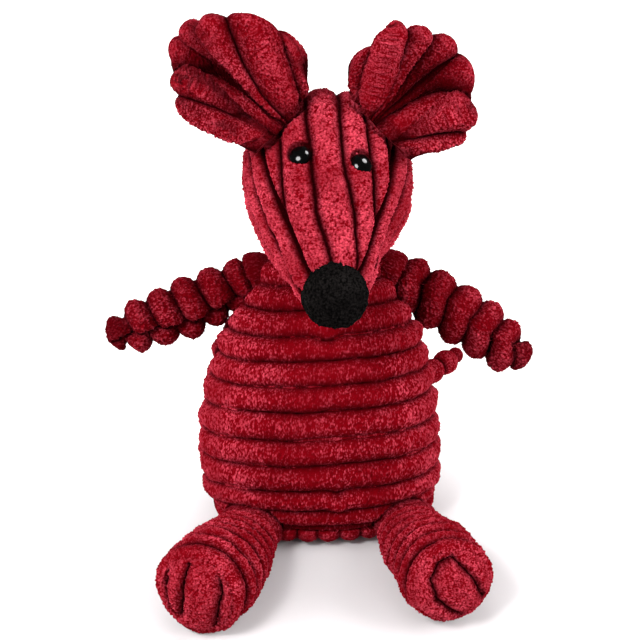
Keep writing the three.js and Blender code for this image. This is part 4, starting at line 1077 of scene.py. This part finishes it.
def ear_layer(name, word, face):
    """Front (1) or back (-1) layer of an ear: thick ribs fan out from the gathered base and end in round tips."""
    rows, columns, seed = GRIDS[f"{name}_ear_{word}"]
    part = np.linspace(EAR_START, 1, rows)[:, None]
    at_rim, at_base = EAR_GROOVES[name]
    opened = np.clip((part - EAR_GATHER[name]) / (1 - EAR_GATHER[name]), EAR_START, 1)
    marks = [base + (rim - base) * opened for rim, base in zip(at_rim, at_base)]
    test = np.linspace(0, 1, 1201)
    run = run_of(ear_surface(name, at_rim[0] + (at_rim[-1] - at_rim[0]) * test, 0.7 + 0 * test))
    span = np.interp(np.linspace(0, run[-1], columns), run, test)
    across = marks[0] + (marks[-1] - marks[0]) * span
    spots = across * (EAR_FOOT + 26 * part), EAR_LENGTH * part + 0 * across, 0 * across + SIDES[name] * 9
    wide = EAR_FOOT + EAR_SPREAD * part
    wander = rough(np.stack(spots, axis=-1), seed, EAR_WANDER) / wide
    crown, width, number, share = ribs(across + wander, marks)
    rims = np.array(at_rim)
    spot = rims[number] + share * (rims[number + 1] - rims[number])
    tip = smooth((part - 0.55) / 0.45)
    tips = np.random.default_rng(seed // 10 * 10).uniform(-0.025, 0.025, 8)[number]
    middle = ear_surface(name, across, part * (1 + (0.085 * (crown - 0.75) + tips) * tip))
    normals = normals_of(middle)
    normals = normals * np.sign(np.sum(normals * ear_place(name)[3], axis=-1)).mean() * face
    edge = np.minimum((1 - part) * EAR_LENGTH, (0.5 - np.abs(span - 0.5)) * 80 * (0.3 + np.abs(part)))
    round_off = np.sqrt(1 - (1 - np.clip(edge / 5.5, 0, 1)) ** 2)
    full = 0.9 + np.minimum(0.42 * width * wide, EAR_BULGE[face]) * crown * (0.5 + 0.5 * smooth(part / 0.12))
    lift = 0.5 + (full + 0.6 * noise(middle, 12, seed + 2) - 0.4) * round_off
    grid = middle + normals * np.maximum(lift, 0.4)[..., None]
    # Painted shade in the front layer's cup behind the lower lip, as deep as the fold there: a lower nap and darker
    # crowns. The ear's level draws it darker too, and its crowns darken towards the base where it meets the head,
    # also as painted shade.
    in_cup = (number > 1) & (number < 5) & (face > 0)
    cup_shade = np.where(in_cup, np.clip(np.interp(spot, *EAR_FOLDS[name]), 0, 1) * (1 - tip), 0)
    grid, values = piled(grid, normals, crown, seed + 4, height=1.5, nap_and_painted_light=-0.1 - 0.25 * cup_shade, level=0.72)
    values["crown"] = values["crown"] * (1 - EAR_CUP_PAINTED_SHADE[name] * cup_shade) * (0.5 + 0.5 * smooth(part / 0.07))
    return skin_piece(f"{name}_ear_{word}_cover", grid, middle + normals * 0.15, values)


# Nose and eyes

NOSE_FELT = (0.6, 9, 0), (0.45, 1.6, 1), (0.4, 0.8, 2)
# Radius and height of the shank's end and top and of the disc's underside.
EYE_SHANK = (1.6, -6), (1.6, -0.2), (4.6, -0.2)
POLE_GAP = 0.01


def nose_piece():
    """Ball of short felt pile: a sphere with fine noise along its radius and loose tufts."""
    rows, columns, seed = GRIDS["nose"]
    tilt, turn = np.linspace(POLE_GAP, PI - POLE_GAP, rows)[:, None], ring(columns)
    normals = hoops((np.zeros(3), *HEAD_PLACE[1:]), np.sin(tilt), turn, np.cos(tilt))
    ball = normals * (NOSE_RADIUS - 0.4)
    ball = NOSE_PLACE + ball + HEAD_PLACE[2] * (NOSE_LIFT + 0.05 * ball @ HEAD_PLACE[2])[..., None]
    rise = rough(ball, seed, NOSE_FELT)
    tuft = tufts(ball, 1.0, seed + 3)
    grid = ball + normals * (rise - 0.2 + 0.35 * (tuft - 0.4))[..., None]
    return tube_piece("nose_ball", grid, {"crown": np.ones_like(tuft), "tuft": tuft, "grain": ball * MM})


def eye_piece(name):
    """Polished button: a domed disc that turns under to a short shank. The curve is turned about the eye's axis."""
    rows, columns, _ = GRIDS["eye"]
    turn = np.linspace(0, PI / 2 - 0.02, rows)
    dome = np.stack([EYE_RADIUS * np.cos(turn), EYE_DOME * np.sin(turn)], axis=-1)
    across, up = np.concatenate([EYE_SHANK, dome]).T[..., None]
    return tube_piece(f"{name}_eye_button", hoops(eye_place(name), across, ring(columns), up), {})


# Properties

def length_property(name, description, default, low, high):
    """Length in metres with its limits."""
    return bpy.props.FloatProperty(
        name=name, description=description, default=default, min=low, max=high, unit="LENGTH", precision=5,
    )


def colour_property(name, description, default):
    """Linear colour."""
    return bpy.props.FloatVectorProperty(
        name=name, description=description, default=default, min=0, max=1, size=3, subtype="COLOR",
    )


def angle_property(name, description, degrees):
    """Angle, given in degrees."""
    return bpy.props.FloatProperty(name=name, description=description, default=radians(degrees), subtype="ANGLE")


class ClothSettings(bpy.types.PropertyGroup):
    wale_pitch: length_property("Wale pitch", "From one wale to the next", 0.0135, 0.005, 0.03)
    wale_depth: length_property("Wale depth", "How deep the grooves are", 0.0034, 0.0005, 0.006)
    pile_height: length_property("Pile height", "How far the tufts stand out", 0.0011, 0, 0.004)
    tuft_size: length_property("Tuft size", "Width of one tuft of pile", 0.0012, 0.0005, 0.005)
    # The groove colour is painted shade down in the grooves and seams, and the tip colour is partly painted highlight
    # on the pile's tips.
    groove_shade_colour: colour_property("Groove colour", "Cloth down in the grooves", (0.012, 0.0001, 0.0004))
    cloth_colour: colour_property("Cloth colour", "Root of the pile on the crowns", (0.115, 0.0008, 0.003))
    tip_and_highlight_colour: colour_property("Tip colour", "Tips of the pile", (0.95, 0.1, 0.16))


class TrimSettings(bpy.types.PropertyGroup):
    felt_colour: colour_property("Nose colour", "Felt of the nose", (0.0008, 0.0007, 0.0007))
    fibre_colour: colour_property("Fibre colour", "Loose fibres on the nose", (0.029, 0.025, 0.024))
    eye_colour: colour_property("Eye colour", "Plastic of the eyes", (0.0008, 0.0008, 0.0008))
    washer_colour: colour_property("Washer colour", "Plastic of washers and reed", (0.8, 0.79, 0.74))
    rubber_colour: colour_property("Rubber colour", "Squeaker bulb", (0.68, 0.68, 0.64))


class StageSettings(bpy.types.PropertyGroup):
    floor_colour: colour_property("Floor colour", "Floor and backdrop", (0.5, 0.477, 0.486))
    distance: length_property("Camera distance", "From the camera to its target", 0.8, 0.3, 3)
    azimuth: angle_property("Azimuth", "Camera's turn round the toy", -2.5)
    elevation: angle_property("Elevation", "Camera's height over the floor", 32)


# Operators

class TOY_OT_body(bpy.types.Operator):
    """Front, back and base panels of the body"""
    bl_idname = "toy.body"
    bl_label = "Body"

    def execute(self, context):
        cover(body_panel("body_front", -1), "torso", ["body_front_panel", "body_stuffing"])
        cover(body_panel("body_back", 1), "torso", ["body_back_panel"])
        cover(base_panel(), "torso", ["base_panel"])
        return {"FINISHED"}


class TOY_OT_head(bpy.types.Operator):
    """Face and cheek panels"""
    bl_idname = "toy.head"
    bl_label = "Head"

    def execute(self, context):
        face = head_panel("face", -FACE_HALF_ANGLE, FACE_HALF_ANGLE)
        cover(face, "head", ["face_panel", "head_stuffing"])
        cover(head_panel("left_cheek", FACE_HALF_ANGLE, PI), "head", ["left_cheek_panel"])
        cover(head_panel("right_cheek", -PI, -FACE_HALF_ANGLE), "head", ["right_cheek_panel"])
        return {"FINISHED"}


class TOY_OT_ears(bpy.types.Operator):
    """Two layers of each ear"""
    bl_idname = "toy.ears"
    bl_label = "Ears"

    def execute(self, context):
        for name in SIDES:
            for word, face in (("front", 1), ("back", -1)):
                cover(ear_layer(name, word, face), f"{name}_ear", [f"{name}_ear_{word}"])
        return {"FINISHED"}


class TOY_OT_arms(bpy.types.Operator):
    """Both arms"""
    bl_idname = "toy.arms"
    bl_label = "Arms"

    def execute(self, context):
        for name in SIDES:
            cover(arm_piece(name), f"{name}_arm", [f"{name}_arm", f"{name}_arm_stuffing"])
        return {"FINISHED"}


class TOY_OT_legs(bpy.types.Operator):
    """Both legs and their soles"""
    bl_idname = "toy.legs"
    bl_label = "Legs"

    def execute(self, context):
        for name in SIDES:
            cover(leg_piece(name), f"{name}_leg", [f"{name}_leg", f"{name}_leg_stuffing"])
            cover(sole_piece(name), f"{name}_leg", [f"{name}_sole"])
        return {"FINISHED"}


class TOY_OT_tail(bpy.types.Operator):
    """Tail"""
    bl_idname = "toy.tail"
    bl_label = "Tail"

    def execute(self, context):
        cover(tail_piece(), "tail", ["tail"])
        return {"FINISHED"}


class TOY_OT_nose(bpy.types.Operator):
    """Felt nose"""
    bl_idname = "toy.nose"
    bl_label = "Nose"

    def execute(self, context):
        trim = context.scene.plush_trim
        felt = pile_material("Felt", (trim.felt_colour, trim.felt_colour, trim.fibre_colour), 0.7, 1800, 0.3, 0.0)
        finish_piece(nose_piece(), felt, "head", ["nose"])
        return {"FINISHED"}


class TOY_OT_eyes(bpy.types.Operator):
    """Polished eyes"""
    bl_idname = "toy.eyes"
    bl_label = "Eyes"

    def execute(self, context):
        plastic = plain_material("Eye plastic", context.scene.plush_trim.eye_colour, 0.12, 0.2, level=0.1)
        for name in SIDES:
            finish_piece(eye_piece(name), plastic, "head", [f"{name}_eye"])
        return {"FINISHED"}


class TOY_OT_inner_parts(bpy.types.Operator):
    """Finish of the washers and the squeaker, which keep their CAD shapes"""
    bl_idname = "toy.inner_parts"
    bl_label = "Inner parts"

    def execute(self, context):
        trim = context.scene.plush_trim
        washer = plain_material("Washer plastic", trim.washer_colour, 0.45, 0.06)
        rubber = plain_material("Squeaker rubber", trim.rubber_colour, 0.5, 0.08)
        for name in ("right_eye_washer", "left_eye_washer", "squeaker_reed", "squeaker_bulb"):
            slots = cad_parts[name].data.materials
            slots.clear()
            slots.append(rubber if name == "squeaker_bulb" else washer)
        return {"FINISHED"}


# Lights: name, place and width in metres, and power. The glints are seen only in the eyes, and the other lights
# only on the cloth and the floor.
LIGHTS = (
    ("Key", (-0.6, -0.7, 1.1), 0.34, 15),
    ("Front", (0.5, -0.9, 0.8), 0.3, 3),
    ("Left", (-1.1, -0.4, 0.8), 0.9, 18),
    ("Right", (1.1, -0.4, 0.8), 0.9, 25),
    ("Top", (-0.1, 0.1, 1.5), 0.9, 6),
    ("Left glint", (-0.75, -0.95, 0.75), 0.9, 150),
    ("Right glint", (0.8, 0.1, 1.15), 0.7, 75),
)
LIGHT_TARGET, CAMERA_TARGET = Vector((0, 0, 0.1)), Vector((-0.002, 0, 0.099))
SENSOR, FOCUS_SHARE = 36, 1660 / 640
FLOOR_HALF = 3.0
GLOW_MIDDLE, GLOW_START, GLOW_END, GLOW = (0, -0.085, 0), 0.055, 0.17, 0.9
SKY, BACKDROP = 0.22, 1.0


class TOY_OT_stage(bpy.types.Operator):
    """Pale floor, soft lights and the camera"""
    bl_idname = "toy.stage"
    bl_label = "Stage"

    def put(self, data, place=(0, 0, 0), facing=None):
        """Object of some data at a place, turned to face a way."""
        made = bpy.data.objects.new(data.name, data)
        made.location = place
        if facing:
            made.rotation_mode = "QUATERNION"
            made.rotation_quaternion = facing.to_track_quat("-Z", "Y")
        bpy.context.scene.collection.objects.link(made)
        return made

    def add_camera(self, stage):
        """Camera at its distance and angles from its target."""
        level = math.cos(stage.elevation)
        back = Vector((math.sin(stage.azimuth) * level, -math.cos(stage.azimuth) * level, math.sin(stage.elevation)))
        lens = bpy.data.cameras.new("Camera")
        lens.sensor_width = SENSOR
        lens.lens = SENSOR * FOCUS_SHARE
        lens.clip_start = 0.05
        return self.put(lens, CAMERA_TARGET + back * stage.distance, -back)

    def add_floor(self, colour):
        """Square of paper that glows white away from the toy."""
        mesh = bpy.data.meshes.new("Floor")
        corners = [(x * FLOOR_HALF, y * FLOOR_HALF, 0) for x, y in ((-1, -1), (1, -1), (1, 1), (-1, 1))]
        mesh.from_pydata(corners, [], [(0, 1, 2, 3)])
        floor = self.put(mesh)
        floor.visible_glossy = False
        paper, tree, surface = new_material("Paper")
        place = add_node(tree, "TexCoord", {}).outputs["Object"]
        offset = add_node(tree, "VectorMath", {0: place, 1: GLOW_MIDDLE}, operation="SUBTRACT").outputs["Vector"]
        away = add_node(tree, "VectorMath", {0: offset}, operation="LENGTH").outputs["Value"]
        glow = add_node(tree, "MapRange", {
            "Value": away, "From Min": GLOW_START, "From Max": GLOW_END, "To Max": GLOW,
        }, interpolation_type="SMOOTHSTEP").outputs["Result"]
        feed(tree, surface, {
            "Base Color": (*colour, 1), "Roughness": 0.9, "Emission Color": glow, "Emission Strength": 1.0,
        })
        mesh.materials.append(paper)
        return floor

    def execute(self, context):
        scene = context.scene
        scene.camera = self.add_camera(scene.plush_stage)
        scene.view_settings.view_transform = "Standard"
        self.add_floor(scene.plush_stage.floor_colour)
        for name, place, size, power in LIGHTS:
            lamp = bpy.data.lights.new(name, "AREA")
            lamp.shape, lamp.size, lamp.energy = "DISK", size, power
            light = self.put(lamp, place, LIGHT_TARGET - Vector(place))
            light.visible_glossy = "glint" in name
            light.visible_diffuse = not light.visible_glossy
        scene.world = bpy.data.worlds.new("Studio")
        scene.world.use_nodes = True
        tree = scene.world.node_tree
        seen = add_node(tree, "LightPath", {}).outputs["Is Camera Ray"]
        strength = add_node(tree, "MapRange", {"Value": seen, "To Min": SKY, "To Max": BACKDROP}).outputs["Result"]
        feed(tree, tree.nodes["Background"], {"Color": (1, 1, 1, 1), "Strength": strength})
        return {"FINISHED"}


PARTS = (
    TOY_OT_stage, TOY_OT_body, TOY_OT_head, TOY_OT_ears, TOY_OT_arms, TOY_OT_legs,
    TOY_OT_tail, TOY_OT_nose, TOY_OT_eyes, TOY_OT_inner_parts,
)


class TOY_PT_panel(bpy.types.Panel):
    """Lists the toy's pieces"""
    bl_label = "Plush mouse"
    bl_idname = "TOY_PT_panel"
    bl_space_type = "VIEW_3D"
    bl_region_type = "UI"
    bl_category = "Plush mouse"

    def draw(self, context):
        column = self.layout.column()
        for settings in (context.scene.plush_cloth, context.scene.plush_trim, context.scene.plush_stage):
            for title in settings.bl_rna.properties.keys():
                if title not in ("rna_type", "name"):
                    column.prop(settings, title)
        for part in PARTS:
            column.operator(part.bl_idname)


CLASSES = (ClothSettings, TrimSettings, StageSettings, *PARTS, TOY_PT_panel)


def register():
    """Adds the classes and their settings to Blender."""
    for entry in CLASSES:
        bpy.utils.register_class(entry)
    bpy.types.Scene.plush_cloth = bpy.props.PointerProperty(type=ClothSettings)
    bpy.types.Scene.plush_trim = bpy.props.PointerProperty(type=TrimSettings)
    bpy.types.Scene.plush_stage = bpy.props.PointerProperty(type=StageSettings)


def unregister():
    """Takes the settings and the classes out again."""
    del bpy.types.Scene.plush_cloth, bpy.types.Scene.plush_trim, bpy.types.Scene.plush_stage
    for entry in reversed(CLASSES):
        bpy.utils.unregister_class(entry)


def main():
    """Makes every piece."""
    register()
    for part in PARTS:
        group, name = part.bl_idname.split(".")
        getattr(getattr(bpy.ops, group), name)()
    bpy.context.view_layer.update()


if __name__ == "__main__":
    main()
